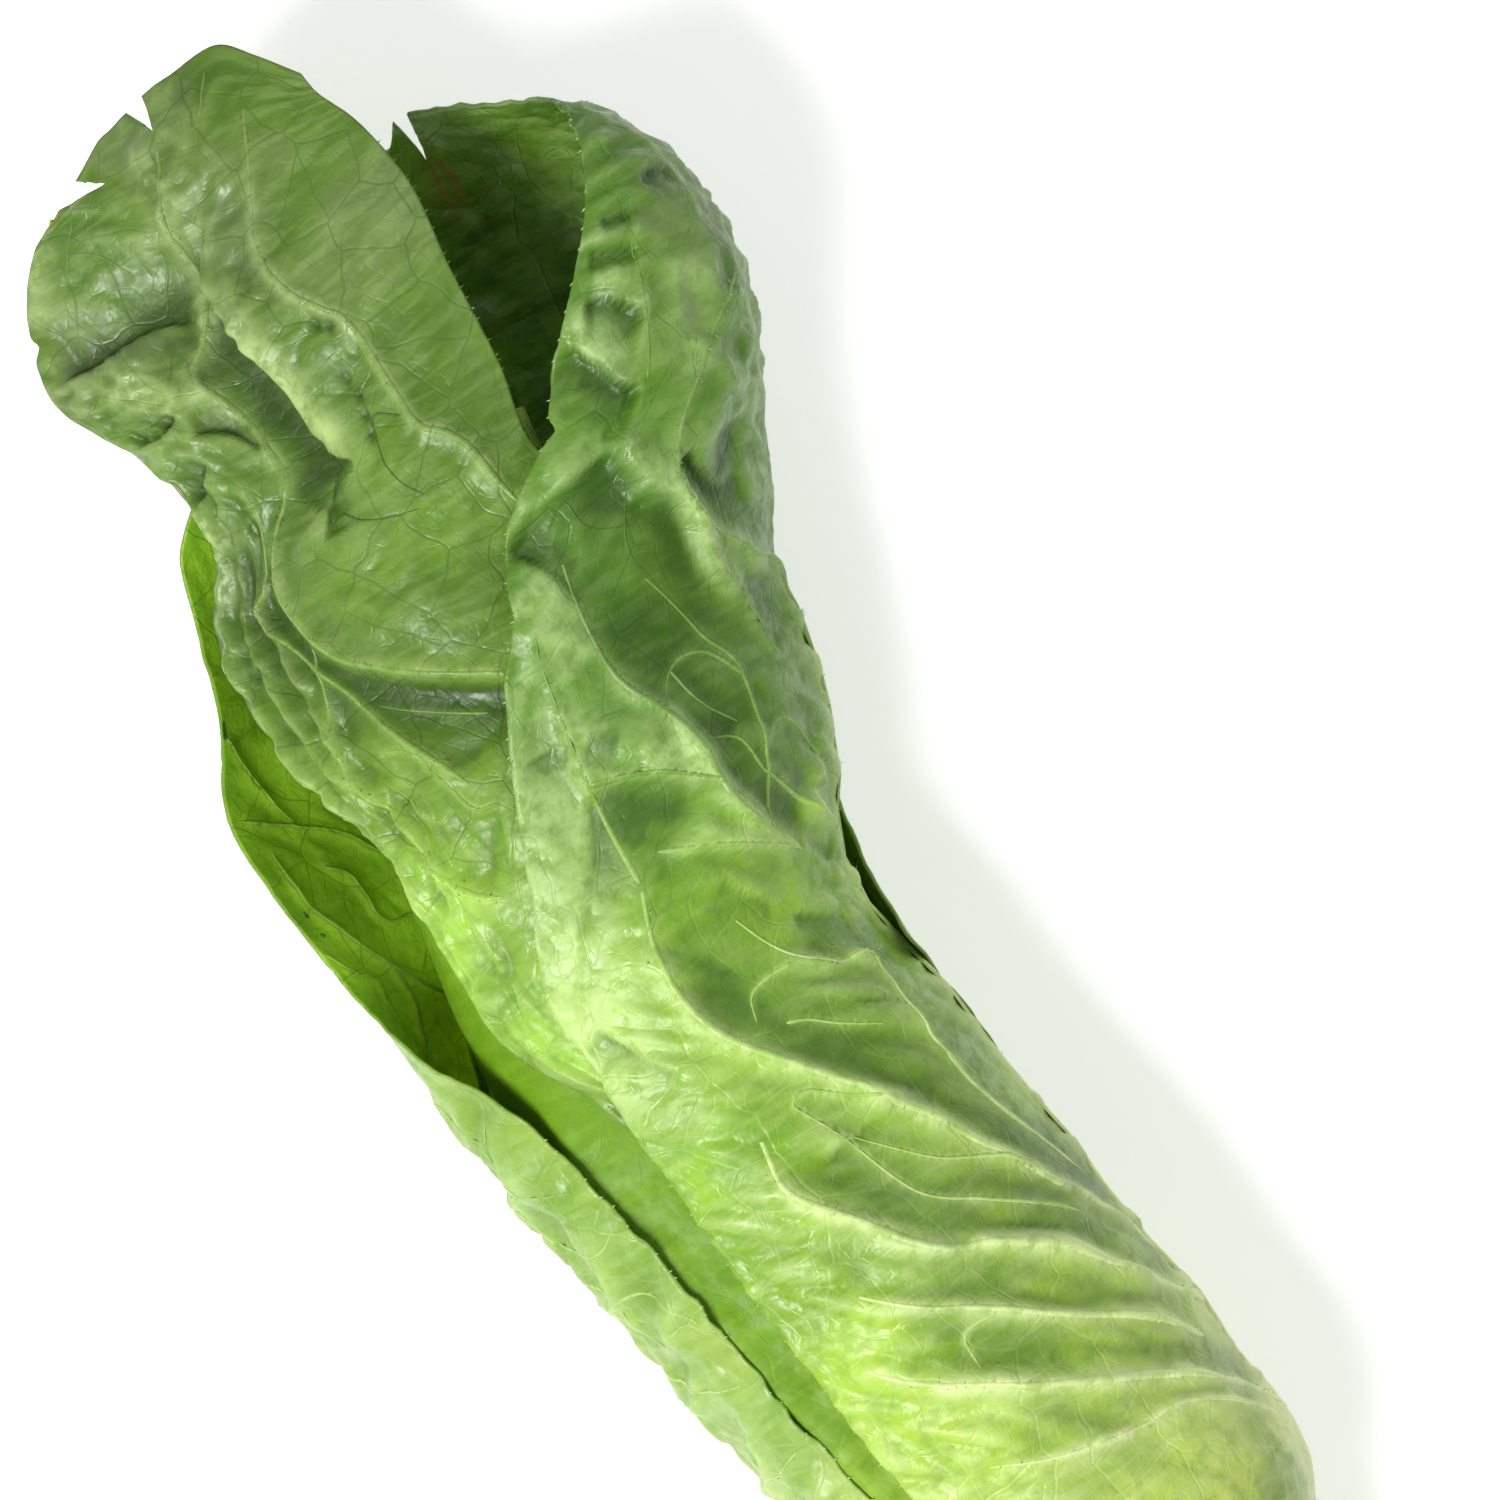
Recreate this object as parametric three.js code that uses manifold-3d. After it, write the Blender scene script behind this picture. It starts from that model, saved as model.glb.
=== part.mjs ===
// A head of sugarloaf chicory, cut from its root and lying on its side.
//
// Frame, in millimetres: +X runs from the cut stem to the leaf tips, +Z is up, and +Y is to the
// left when looking along +X. The head rests on the belly of its lowest leaf, on the plane z = 0,
// and the origin is the middle of that flat belly. The tables below are measured from a point
// farther up the head, and the whole group is moved by BELLY_MIDDLE at the end.
//
// Every leaf is one thin closed sheet, thickened from a net of points: a row of nine points
// runs across the leaf from one margin over the midrib to the other, and the rows follow each
// other from the leaf's foot on the stem to its tip. Inside the closed part of the head a row
// is written as a ring, by its angles round the head and how deep it lies under the outermost
// wrap. Where a leaf leaves the head, its points are written out.
import * as THREE from "three";
import { mergeVertices } from "three/addons/utils/BufferGeometryUtils.js";
import Module from "manifold-3d";

// ---- driving dimensions ----
const BELLY_MIDDLE = [-50, 7]; // x and y of the flat belly's middle in the tables
const LEAF_THICKNESS = 1.3;
const RIB_EXTRA = 0.9; // how much thicker a leaf is at the foot of its midrib
const RIB_HALF_WIDTH = 0.2; // of half the leaf's width
const STEM_CUT_X = -218;
const STEM_TIP_X = -153;
const STEM_CUT_RADIUS = 15.5;
const STEM_SHOULDER_X = -208;
const STEM_SHOULDER_RADIUS = 17.2;
const STEM_TIP_RADIUS = 1.5;
const HEART_LEAVES = 6;
const HEART_FIRST_X = -183.5; // the outermost heart leaf's foot
const HEART_FOOT_STEP = 5.6;
const HEART_OPENING = 34; // the length over which a heart leaf leaves the stem
const HEART_SHARE = 0.624; // the outermost heart leaf's radius, as a share of the head's
const HEART_SHARE_STEP = 0.071;
const HEART_ROOM = 46; // the most of the head's radius that the heart fills its share of
const HEART_TIP_X = 112;
const HEART_TIP_STEP = 8;
const HEART_TURN = 137.5; // degrees from one heart leaf to the next
const FOOT_CLEARANCE = 1.5; // from the stem to the middle of a leaf's thickness

// The head's outermost wrap along its length: x, centre y, half width, centre z, top z, bottom z.
const HEAD = [
  [-218, -11, 20, 36, 55.5, 16.5],
  [-200, -9.6, 25.5, 37.8, 62.5, 13],
  [-182, -8.2, 34, 39.6, 71, 6.5],
  [-160, -6.8, 43, 41.8, 79.5, 1.8],
  [-125, -1, 46.5, 44, 85.5, 0],
  [-90, 5, 48.5, 44, 87, 0],
  [-50, 12.5, 49, 44, 87, 0],
  [-10, 19, 49.5, 44, 87, 0],
  [20, 14.5, 55.5, 44, 88, 0],
  [48, 13, 60.5, 45, 90, 0],
  [75, 5.5, 62.5, 46, 90, 2],
  [100, -4, 64, 47, 89, 4],
  [125, -5, 62, 48, 86, 12],
];

// ---- curves ----
// Values along the head, between the rows of a table that starts each row with its x.
function along(table, x) {
  const last = table.length - 2;
  let i = 0;
  while (i < last && x > table[i + 1][0]) i += 1;
  const step = (k) => table[k + 1][0] - table[k][0];
  const slope = (k, c) => (table[k + 1][c] - table[k][c]) / step(k);
  const tangent = (k, c) => {
    if (k === 0) return slope(0, c);
    if (k === table.length - 1) return slope(k - 1, c);
    return (slope(k - 1, c) * step(k) + slope(k, c) * step(k - 1)) / (step(k - 1) + step(k));
  };
  const q = (x - table[i][0]) / step(i);
  return table[i].slice(1).map((value, n) => {
    const c = n + 1;
    return (
      (1 + 2 * q) * (1 - q) ** 2 * value +
      q * (1 - q) ** 2 * step(i) * tangent(i, c) +
      q * q * (3 - 2 * q) * table[i + 1][c] +
      q * q * (q - 1) * step(i) * tangent(i + 1, c)
    );
  });
}

// A point inside the head's outermost wrap. Angles are in degrees: 0 is the left side, 90 the
// top, 180 the right side and 270 the belly.
function under(x, angle, depthOf) {
  const [centreY, halfWidth, centreZ, top, bottom] = along(HEAD, x);
  const c = Math.cos(THREE.MathUtils.degToRad(angle));
  const s = Math.sin(THREE.MathUtils.degToRad(angle));
  const dy = halfWidth * c;
  const dz = (s > 0 ? top - centreZ : centreZ - bottom) * s;
  const radius = Math.hypot(dy, dz);
  const kept = (radius - depthOf(radius)) / radius;
  return [x, centreY + dy * kept, centreZ + dz * kept];
}

const ACROSS = 9;
const MIDDLE = (ACROSS - 1) / 2;

// The angle of the n-th point of a row that spans margin, midrib, margin.
function angleOf([first, middle, last], n) {
  return n < MIDDLE
    ? first + ((middle - first) * n) / MIDDLE
    : middle + ((last - middle) * (n - MIDDLE)) / MIDDLE;
}

// A row at x, at its own depth in mm under the outermost wrap at each of its nine points.
function ring(x, angles, depths) {
  return depths.map((depth, n) => under(x, angleOf(angles, n), () => depth));
}

// A row at one radius round the stem: a leaf's foot.
function collar(x, radius, angles) {
  const row = [];
  for (let n = 0; n < ACROSS; n += 1) {
    row.push(under(x, angleOf(angles, n), (outer) => outer - radius));
  }
  return row;
}

// ---- the leaves' nets, from foot to tip ----
const FRONT_LEAF = [
  collar(-201, 16.9, [118, 180, 242]),
  ring(-182, [96, 180, 262], [5, 5, 5, 5, 5.5, 6.5, 7.6, 8.2, 8.6]),
  ring(-160, [78, 180, 276], [1.5, 1.2, 1, 1.2, 1.2, 5.2, 7.2, 8.4, 9]),
  ring(-125, [59, 180, 286], [2, 1, 0.6, 0.6, 0.6, 5, 6.8, 8, 9]),
  ring(-90, [56, 180, 289], [2.5, 1, 0.6, 0.6, 0.6, 5, 6.8, 8, 9]),
  ring(-50, [61, 180, 289], [3, 1, 0.6, 0.8, 1.5, 5, 7, 8.5, 9]),
  ring(-10, [67, 180, 288], [2.5, 1, 0.8, 1.2, 2.5, 6, 8, 9, 9.5]),
  ring(20, [76, 180, 284], [2, 0.8, 0.5, 0.6, 0.8, 5, 8.5, 10, 11.5]),
  ring(48, [87, 180, 282], [1.2, 0.6, 0.5, 0.5, 0.6, 5.4, 8.6, 10.8, 13]),
  [[77, 0, 88], [76, -16, 88.5], [76, -36, 83.5], [76, -53, 70], [76, -59.5, 50],
    [77, -53, 29], [78, -36, 15], [79, -17, 11], [79, 2, 12.5]],
  [[103, -26, 86], [102.5, -40, 86.5], [102, -54, 81], [102, -66.5, 69], [103, -71, 51],
    [104, -63, 31], [105, -46, 17], [106, -24, 11], [105, 2, 12]],
  [[128, -47, 84], [129, -56, 82.5], [130, -63.5, 77], [130, -69, 66], [130, -70.5, 52],
    [133, -62, 34], [136, -47, 22], [138, -28, 16], [136, -6, 17]],
  [[143, -54, 79.5], [144, -57.5, 77], [145, -60.5, 72], [145.5, -62.5, 65], [146, -62, 56],
    [148, -55, 43], [151, -43, 32], [153, -27, 25], [150, -10, 24]],
  [[150, -55, 75], [151.5, -54, 72], [153, -52.5, 68.5], [155, -50.5, 65], [157, -48, 60],
    [160, -43, 53], [164, -35, 45], [169, -26, 36], [170, -14, 30]],
];

const CURLED_LEAF = [
  collar(-197, 15.7, [40, 90, 140]),
  ring(-178, [40, 93, 147], [8, 8, 8, 8, 8, 8, 8.4, 8.8, 9]),
  ring(-150, [48, 101, 155], [6, 6, 5.5, 5.2, 5, 5, 5, 5, 5]),
  ring(-110, [60, 108, 157], [6, 5.5, 5, 5, 5, 5, 5, 5, 5]),
  ring(-70, [64, 110, 157], [6.5, 5.5, 5, 5, 5, 5, 5, 5, 5.5]),
  [[-27, 36, 76], [-27, 30, 78.5], [-27, 24, 80], [-27, 16, 81.5], [-27, 8, 81.5],
    [-27, -2, 79.8], [-27, -11, 75], [-27, -18.5, 67.5], [-27, -23.5, 58]],
  [[-7, 47, 72], [-7, 42.5, 75.5], [-7, 36.5, 78.5], [-7, 29, 81], [-7, 19, 82.3],
    [-7, 7, 81.8], [-7, -5, 78], [-7, -13.5, 71.5], [-7, -19.5, 63]],
  [[14, 49, 69], [14, 45, 73], [14, 39, 77], [14, 31, 80.3], [14, 19, 82.7],
    [14, 6, 82.8], [14, -8, 79.5], [14, -18.5, 73], [14, -26.5, 63.5]],
  [[41, 49.5, 65.5], [41, 45, 71.5], [41, 38, 77], [41, 29.5, 80.8], [41, 18, 83.6],
    [41, 4, 84], [41, -11, 82], [41, -24, 76.5], [41, -34, 67]],
  [[71, 58, 57], [70, 53, 64.5], [70, 45, 71.5], [70, 35.5, 76.5], [70, 24, 80.4],
    [70, 12, 82.5], [70, 0, 83.4], [71, -14, 82], [72, -28, 77]],
  [[93, 58, 53], [92, 52, 60], [92, 44.5, 66.5], [91, 36, 71.5], [91, 26, 76],
    [91, 14, 79], [92, 2, 80.5], [93, -8, 80.3], [94, -17, 78]],
  [[113, 48, 57], [112, 43.5, 62], [111, 37.5, 66.5], [110, 30, 70.5], [110, 22, 73.7],
    [110, 12, 76.5], [110.5, 1, 78.2], [111, -10, 78.6], [112, -19, 77]],
  [[133, 53, 54.5], [131, 46, 59.5], [129, 38.5, 63.5], [128, 31, 66.8], [127, 22, 70.3],
    [127, 12, 73.5], [128, 1, 75.8], [130, -10, 77], [133, -20, 76]],
  [[151, 62.5, 51], [150, 54, 55.5], [148, 45, 59], [146, 35, 62.3], [146, 25, 66.2],
    [146, 14, 70], [147, 2, 72.6], [149, -10, 74.2], [152, -21.5, 74]],
  [[169, 59, 49.5], [168, 50.5, 53], [167, 41, 56.3], [166, 32, 59.5], [165, 22, 63],
    [165, 12, 66.3], [166, 2, 68.8], [167, -8, 70.5], [168, -18.5, 71]],
  [[180, 51, 50], [181, 44.5, 52], [181, 37, 54.5], [181, 28.5, 57.3], [181, 20, 60],
    [181, 11, 62.7], [181.5, 2, 65], [180, -6, 67], [177, -14.5, 68.5]],
  [[183, 46, 51], [187, 38, 52], [190, 31.5, 53.5], [192, 26, 55], [195, 17, 57.3],
    [196, 8, 59.3], [196, -2, 61.5], [190, -7.5, 64], [182, -13.5, 66.5]],
];

const LEFT_OUTER_LEAF = [
  collar(-206, 18.5, [-78, -18, 42]),
  ring(-185, [-82, -14, 52], [4, 4, 3.5, 3, 2.5, 2.5, 2.5, 2.5, 2.5]),
  ring(-160, [-90, -17, 52], [4, 4, 4, 4, 2.5, 1, 0.6, 0.8, 1]),
  ring(-125, [-92, -19, 46], [4, 4, 4, 4, 2.5, 1, 0.5, 0.6, 1]),
  ring(-90, [-92, -19, 46], [4, 4, 4, 4, 2.5, 1, 0.5, 0.6, 1]),
  ring(-50, [-92, -19, 47], [4, 4, 4, 4, 2.5, 1, 0.4, 0.4, 0.6]),
  [[-20, 10, 4.2], [-20, 25, 5.2], [-20, 38.5, 10.2], [-20, 51.5, 17.5], [-20, 61, 27],
    [-20, 66.5, 38], [-20, 66.5, 49.5], [-20, 61.5, 60], [-20, 54, 69.5]],
  [[0, 8, 4.5], [0, 23, 6], [0, 36, 10], [0, 46.5, 16], [0, 55.5, 23.5],
    [0, 62, 32], [1, 66, 41], [2, 67, 49.5], [3, 65.5, 58]],
  [[20, 4, 5], [20, 18.5, 7], [20, 31, 11], [20, 41.5, 16.5], [20, 50, 23],
    [20, 57, 30], [20, 62.5, 37.5], [20, 67, 45], [19.5, 70.5, 52]],
  [[41, 4, 5.5], [41, 18.5, 7], [41, 31, 10.5], [41, 42, 15.5], [41, 51, 21.5],
    [41, 58, 28], [41, 64, 35], [41, 69.5, 42], [41, 74, 49]],
  [[60, 12, 8.5], [60, 22, 10], [60, 32.5, 12.5], [60, 43, 16.5], [60, 52, 21.5],
    [60, 59, 27.5], [60, 65, 33.5], [60.5, 70.5, 40], [61, 75, 46]],
  [[79, 18, 14.5], [79, 25, 15.3], [79, 32.5, 17], [79, 40, 19.3], [79, 47, 22.5],
    [79, 53, 27], [79, 58, 32], [79.5, 62.5, 37.5], [80, 66.5, 43]],
  [[95, 15, 24], [95, 22, 23.8], [95, 29, 24], [95.5, 35.5, 24.8], [96, 41.5, 26.5],
    [97, 47, 28.8], [98, 52, 32], [99, 57, 36], [100, 61, 41]],
  [[107, 19, 30.2], [107, 24, 29.5], [107, 29, 29.2], [107.5, 34, 29.5], [108, 39, 30.5],
    [109, 43.5, 32.3], [110, 48, 35], [111.5, 52.5, 38.5], [113, 56.5, 43]],
  [[115, 23, 36], [116, 26, 35.5], [117, 29, 35.5], [118, 32, 36], [119, 35, 37],
    [120, 37.5, 38.5], [121, 40, 40.5], [122, 43, 43], [123, 46, 46]],
];

const RIGHT_OUTER_LEAF = [
  collar(-206, 18.5, [158, 194, 230]),
  ring(-187, [172, 207, 242], [2, 2, 2, 2.2, 2.6, 3, 3.4, 3.8, 4]),
  ring(-172, [190, 218, 246], [0.6, 0.8, 1.4, 2.2, 3, 3.6, 4, 4.2, 4.3]),
  ring(-150, [198, 224, 250], [0.2, 0.6, 1.4, 2.5, 3.5, 4, 4.2, 4.3, 4.4]),
  ring(-120, [198, 224, 250], [0.2, 0.6, 1.4, 2.5, 3.5, 4, 4.2, 4.3, 4.4]),
  ring(-85, [194, 222, 249], [-0.2, 0.3, 1.3, 2.5, 3.5, 4.1, 4.3, 4.4, 4.4]),
  ring(-50, [177, 212, 247], [-1.4, -1, 0, 1.4, 2.8, 3.6, 4.1, 4.4, 4.4]),
  ring(-25, [171, 208, 245], [-1.8, -1.4, -0.4, 1, 2.4, 3.4, 4, 4.4, 4.4]),
  ring(0, [175, 208, 243], [-1.6, -1.4, -0.6, 0.7, 2, 3.2, 4, 4.4, 4.4]),
  ring(12, [190, 215, 241], [-1.4, -1.1, -0.4, 0.8, 2, 3, 3.8, 4.3, 4.6]),
  ring(26, [206, 222, 238], [0, 0.6, 1.4, 2.2, 3, 3.8, 4.4, 4.8, 5]),
  ring(42, [212, 221, 230], [1.4, 1.8, 2.2, 2.6, 3, 3.4, 3.8, 4, 4.2]),
];

const UNDER_LEAF = [
  collar(-210, 20.3, [225, 270, 315]),
  ring(-188, [222, 270, 324], [0.4, 0.3, 0.2, 0, 0, 0, 0.2, 0.3, 0.4]),
  [[-158, -42, 18], [-158, -36.5, 10.5], [-158, -29, 5.4], [-158, -18.5, 2.8], [-158, -6.5, 1.9],
    [-158, 6, 3], [-158, 16, 7], [-158, 23, 12.5], [-158, 28, 19]],
  [[-125, -40.5, 17], [-125, -34.5, 9], [-125, -26, 3.4], [-125, -14, 0.4], [-125, -1, 0.2],
    [-125, 12, 0.4], [-125, 23.5, 4], [-125, 32, 11], [-125, 38, 19]],
  [[-85, -36, 17], [-85, -30, 9.5], [-85, -21.5, 3.6], [-85, -9, 0.1], [-85, 5, 0.1],
    [-85, 19, 0.1], [-85, 31, 4], [-85, 40, 11.5], [-85, 45.5, 19]],
  [[-45, -29.5, 17], [-45, -24, 9.5], [-45, -15.5, 3.6], [-45, -3, 0.1], [-45, 12, 0.1],
    [-45, 26, 0.1], [-45, 37.5, 4.2], [-45, 47, 11.5], [-45, 54, 18]],
  [[-5, -25, 17], [-5, -20, 9.2], [-5, -12, 3.2], [-5, 0, 0.1], [-5, 14, 0.1],
    [-5, 27, 0.2], [-5, 37, 3.6], [-5, 45, 8.2], [-5, 50.5, 13]],
  [[35, -28, 12.5], [35, -23, 7.4], [35, -15.5, 3], [35, -5, 0.2], [35, 6, 0.1],
    [35, 17, 0.6], [35, 27, 3], [35, 35.5, 6.4], [35, 43, 10.6]],
  [[70, -26, 9.5], [70, -22, 6.8], [70, -16, 4.4], [70, -9, 2.6], [70, 0, 2],
    [70, 10, 2.6], [70, 18.5, 4.4], [70, 27, 7.2], [70, 34.5, 10.6]],
  [[96, -18, 6.2], [98, -14, 5.4], [100, -10, 4.9], [101, -5, 4.7], [101.5, 0, 4.6],
    [101, 5, 4.9], [100, 10, 5.6], [98, 15, 6.8], [95, 20, 8.8]],
];

const LEFT_MIDDLE_LEAF = [
  collar(-193, 14.5, [0, 60, 120]),
  ring(-172, [-5, 62, 128], [9, 9.5, 10.5, 12, 13, 13, 13, 13, 13]),
  ring(-158, [-5, 62, 129], [8, 8, 8.2, 9, 9.6, 10, 10, 10, 10]),
  ring(-140, [-5, 62, 130], [7.5, 7.5, 7.5, 8.2, 8.8, 9, 9, 9, 9]),
  ring(-105, [-5, 62, 130], [7.5, 7.5, 7.5, 8.2, 9.4, 9.6, 9.4, 9.2, 9]),
  ring(-60, [-5, 62, 130], [7.5, 7.5, 7.5, 8.4, 10, 10, 9.6, 9.4, 9.2]),
  ring(-15, [0, 62, 128], [12, 12, 11.6, 11.2, 10.8, 10.4, 10, 9.6, 9.4]),
  ring(20, [10, 64, 118], [17, 16, 14.4, 12.4, 11, 10.4, 10, 9.6, 9.6]),
  ring(48, [30, 68, 106], [20, 19, 18, 17, 15.5, 14.4, 13.6, 13.2, 13]),
];

const TOP_MIDDLE_LEAF = [
  collar(-188, 13.4, [42, 96, 150]),
  ring(-168, [34, 93, 152], [14.5, 15, 15.4, 15.6, 15.6, 15.6, 15.6, 15.6, 15.6]),
  ring(-155, [30, 94, 158], [12.8, 13, 13.2, 13.2, 13.2, 13.2, 13, 13, 13]),
  ring(-140, [30, 98, 166], [12.2, 12.2, 12.2, 12.2, 12.2, 12.2, 12.2, 12.4, 12.8]),
  ring(-95, [30, 98, 166], [11.9, 11.9, 11.9, 12, 12.2, 12.2, 12.2, 12.4, 12.8]),
  ring(-50, [32, 98, 164], [12.2, 12.2, 12.2, 12.4, 12.4, 12.4, 12.4, 12.6, 13.2]),
  ring(-10, [40, 98, 156], [14.4, 14.2, 14, 13.6, 12.6, 12.6, 12.8, 13.2, 14]),
  ring(25, [48, 96, 146], [16, 15.6, 15.2, 14.6, 14, 13.8, 13.8, 14.4, 15]),
  ring(55, [62, 94, 128], [18.4, 18, 17.4, 17, 16.6, 16.6, 16.8, 17.2, 18]),
];

const RIGHT_MIDDLE_LEAF = [
  collar(-190, 13.7, [168, 228, 288]),
  ring(-170, [158, 228, 296], [12, 12, 12.2, 12.6, 13, 13.4, 13.8, 14, 14]),
  ring(-140, [150, 224, 300], [8.8, 8.8, 8.8, 9.4, 10.4, 11.7, 12.6, 13.2, 13.2]),
  ring(-95, [150, 224, 300], [8.8, 8.8, 8.8, 9.4, 10.4, 11.7, 12.6, 13.2, 13.2]),
  ring(-50, [150, 224, 300], [9, 9, 9.2, 9.8, 10.8, 12, 13, 13.4, 13.4]),
  ring(-10, [150, 222, 296], [9.5, 9.8, 10.4, 11.2, 12, 13, 13.6, 14, 14]),
  ring(25, [154, 220, 286], [11, 12, 13, 13.6, 14, 14.6, 15, 15.6, 16]),
  ring(55, [172, 218, 266], [18, 17, 16.5, 16.5, 16.5, 16.5, 16.5, 17, 18]),
];

const BACK_MIDDLE_LEAF = [
  collar(-188, 13.1, [298, 336, 374]),
  ring(-168, [298, 336, 374], [11, 11.5, 12, 12.5, 13, 13.5, 14, 14, 14]),
  ring(-140, [303, 341, 379], [8.4, 8.4, 8.4, 9.2, 10.4, 11.2, 11.6, 11.6, 11.6]),
  ring(-95, [303, 341, 379], [8.4, 8.4, 8.4, 9.2, 10.4, 11, 11.2, 11.2, 11.2]),
  ring(-50, [303, 341, 379], [8.4, 8.4, 8.4, 9.2, 10.4, 11, 11.2, 11.2, 11.2]),
  ring(-12, [303, 339, 374], [9, 9.5, 10.5, 12, 13.5, 14.8, 15.6, 16, 16.2]),
  ring(20, [303, 332, 362], [12, 13, 14, 15.5, 17, 18.5, 19.5, 20.5, 21]),
  ring(45, [306, 329, 352], [15, 16.5, 18, 19.5, 21, 22, 23, 23.5, 24]),
];

// Heart leaf number i, counted from the outside: a rolled leaf that closes over the next one.
function heartLeaf(i) {
  const footX = HEART_FIRST_X + HEART_FOOT_STEP * i;
  const tipX = HEART_TIP_X - HEART_TIP_STEP * i;
  const middle = 40 + HEART_TURN * i;
  const share = HEART_SHARE - HEART_SHARE_STEP * i;
  const foot = stemRadius(footX) + FOOT_CLEARANCE;
  const rows = 15;
  const net = [];
  for (let k = 0; k < rows; k += 1) {
    const q = k / (rows - 1);
    const x = footX + (tipX - footX) * (0.6 * q + 0.4 * q * q);
    const opened = THREE.MathUtils.smoothstep(x, footX, footX + HEART_OPENING);
    const closing = THREE.MathUtils.clamp((x - 20) / (tipX - 20), 0, 1);
    const half = (55 + 45 * opened) * (1 - 0.62 * closing ** 3);
    const row = [];
    for (let n = 0; n < ACROSS; n += 1) {
      const angle = middle + (half * (n - MIDDLE)) / MIDDLE;
      row.push(under(x, angle, (outer) => {
        const body = share * Math.min(outer, HEART_ROOM) * (1 - 0.45 * closing ** 2);
        return outer - THREE.MathUtils.lerp(foot, body, opened);
      }));
    }
    net.push(row);
  }
  return net;
}

// ---- solids ----
function stemRadius(x) {
  const share = (x - STEM_SHOULDER_X) / (STEM_TIP_X - STEM_SHOULDER_X);
  return THREE.MathUtils.lerp(STEM_SHOULDER_RADIUS, STEM_TIP_RADIUS, share);
}

const smoothCurve = (points) => new THREE.CatmullRomCurve3(points, false, "centripetal");

// Points of a leaf's middle surface: a grid of wide + 1 points by long + 1 rows.
function surfacePoints(net, wide, long) {
  const rows = net.map((row) => smoothCurve(row.map((point) => new THREE.Vector3(...point))));
  const columns = [];
  for (let a = 0; a <= wide; a += 1) {
    columns.push(smoothCurve(rows.map((row) => row.getPoint(a / wide))));
  }
  const midrib = columns[Math.round(wide / 2)];
  const grid = [];
  for (let b = 0; b <= long; b += 1) {
    const t = midrib.getUtoTmapping(b / long);
    grid.push(columns.map((column) => column.getPoint(t)));
  }
  return grid;
}

// A closed sheet of the leaf's thickness round a grid of points.
function sheet(grid) {
  const long = grid.length - 1;
  const wide = grid[0].length - 1;
  const faces = { front: [], back: [] };
  for (let b = 0; b <= long; b += 1) {
    for (let a = 0; a <= wide; a += 1) {
      const across = grid[b][Math.min(a + 1, wide)].clone().sub(grid[b][Math.max(a - 1, 0)]);
      const up = grid[Math.min(b + 1, long)][a].clone().sub(grid[Math.max(b - 1, 0)][a]);
      const normal = across.cross(up).normalize();
      const u = (2 * a) / wide - 1;
      const rib = RIB_EXTRA * Math.exp(-((u / RIB_HALF_WIDTH) ** 2)) * (1 - b / long);
      const half = LEAF_THICKNESS / 2;
      faces.front.push(grid[b][a].clone().addScaledVector(normal, half + rib));
      faces.back.push(grid[b][a].clone().addScaledVector(normal, -half));
    }
  }
  const points = [...faces.front, ...faces.back];
  const count = faces.front.length;
  const at = (a, b) => b * (wide + 1) + a;
  const index = [];
  const quad = (p, q, r, s) => index.push(p, q, r, p, r, s);
  for (let b = 0; b < long; b += 1) {
    for (let a = 0; a < wide; a += 1) {
      const corners = [at(a, b), at(a + 1, b), at(a + 1, b + 1), at(a, b + 1)];
      quad(...corners);
      quad(...corners.map((corner) => corner + count).reverse());
    }
  }
  const rim = (from, to) => quad(to, from, from + count, to + count);
  for (let a = 0; a < wide; a += 1) {
    rim(at(a, 0), at(a + 1, 0));
    rim(at(a + 1, long), at(a, long));
  }
  for (let b = 0; b < long; b += 1) {
    rim(at(0, b + 1), at(0, b));
    rim(at(wide, b), at(wide, b + 1));
  }
  const geometry = new THREE.BufferGeometry().setFromPoints(points);
  geometry.setIndex(index);
  geometry.computeVertexNormals();
  return geometry;
}

function leafGeometry(net, wide, long) {
  return sheet(surfacePoints(net, wide, long));
}

// The core: a cone with a cut face, its shoulder just under the outermost leaves' feet.
function stemGeometry() {
  const profile = [
    [0, STEM_CUT_X],
    [STEM_CUT_RADIUS - 1.5, STEM_CUT_X],
    [STEM_CUT_RADIUS, STEM_CUT_X + 2],
    [STEM_SHOULDER_RADIUS, STEM_SHOULDER_X],
    [(STEM_SHOULDER_RADIUS + STEM_TIP_RADIUS) / 2, (STEM_SHOULDER_X + STEM_TIP_X) / 2],
    [STEM_TIP_RADIUS, STEM_TIP_X],
    [0, STEM_TIP_X],
  ].map(([radius, x]) => new THREE.Vector2(radius, x - STEM_CUT_X));
  return new THREE.LatheGeometry(profile, 24);
}

// Cuts everything below z = 0 off a closed sheet, which leaves it a flat belly.
async function withFlatBelly(geometry) {
  const wasm = await Module();
  wasm.setup();
  const solid = (shape) => {
    const bare = shape.index ? shape.clone() : shape;
    bare.deleteAttribute("normal");
    bare.deleteAttribute("uv");
    const merged = mergeVertices(bare);
    return new wasm.Manifold(new wasm.Mesh({
      numProp: 3,
      vertProperties: merged.attributes.position.array,
      triVerts: new Uint32Array(merged.index.array),
    }));
  };
  const floor = new THREE.BoxGeometry(500, 300, 40).translate(0, 0, -20);
  const cut = solid(geometry).subtract(solid(floor)).getMesh();
  const result = new THREE.BufferGeometry();
  result.setAttribute("position", new THREE.BufferAttribute(cut.vertProperties, 3));
  result.setIndex(new THREE.BufferAttribute(cut.triVerts, 1));
  result.computeVertexNormals();
  return result;
}

// ---- the head ----
const head = new THREE.Group();

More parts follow.
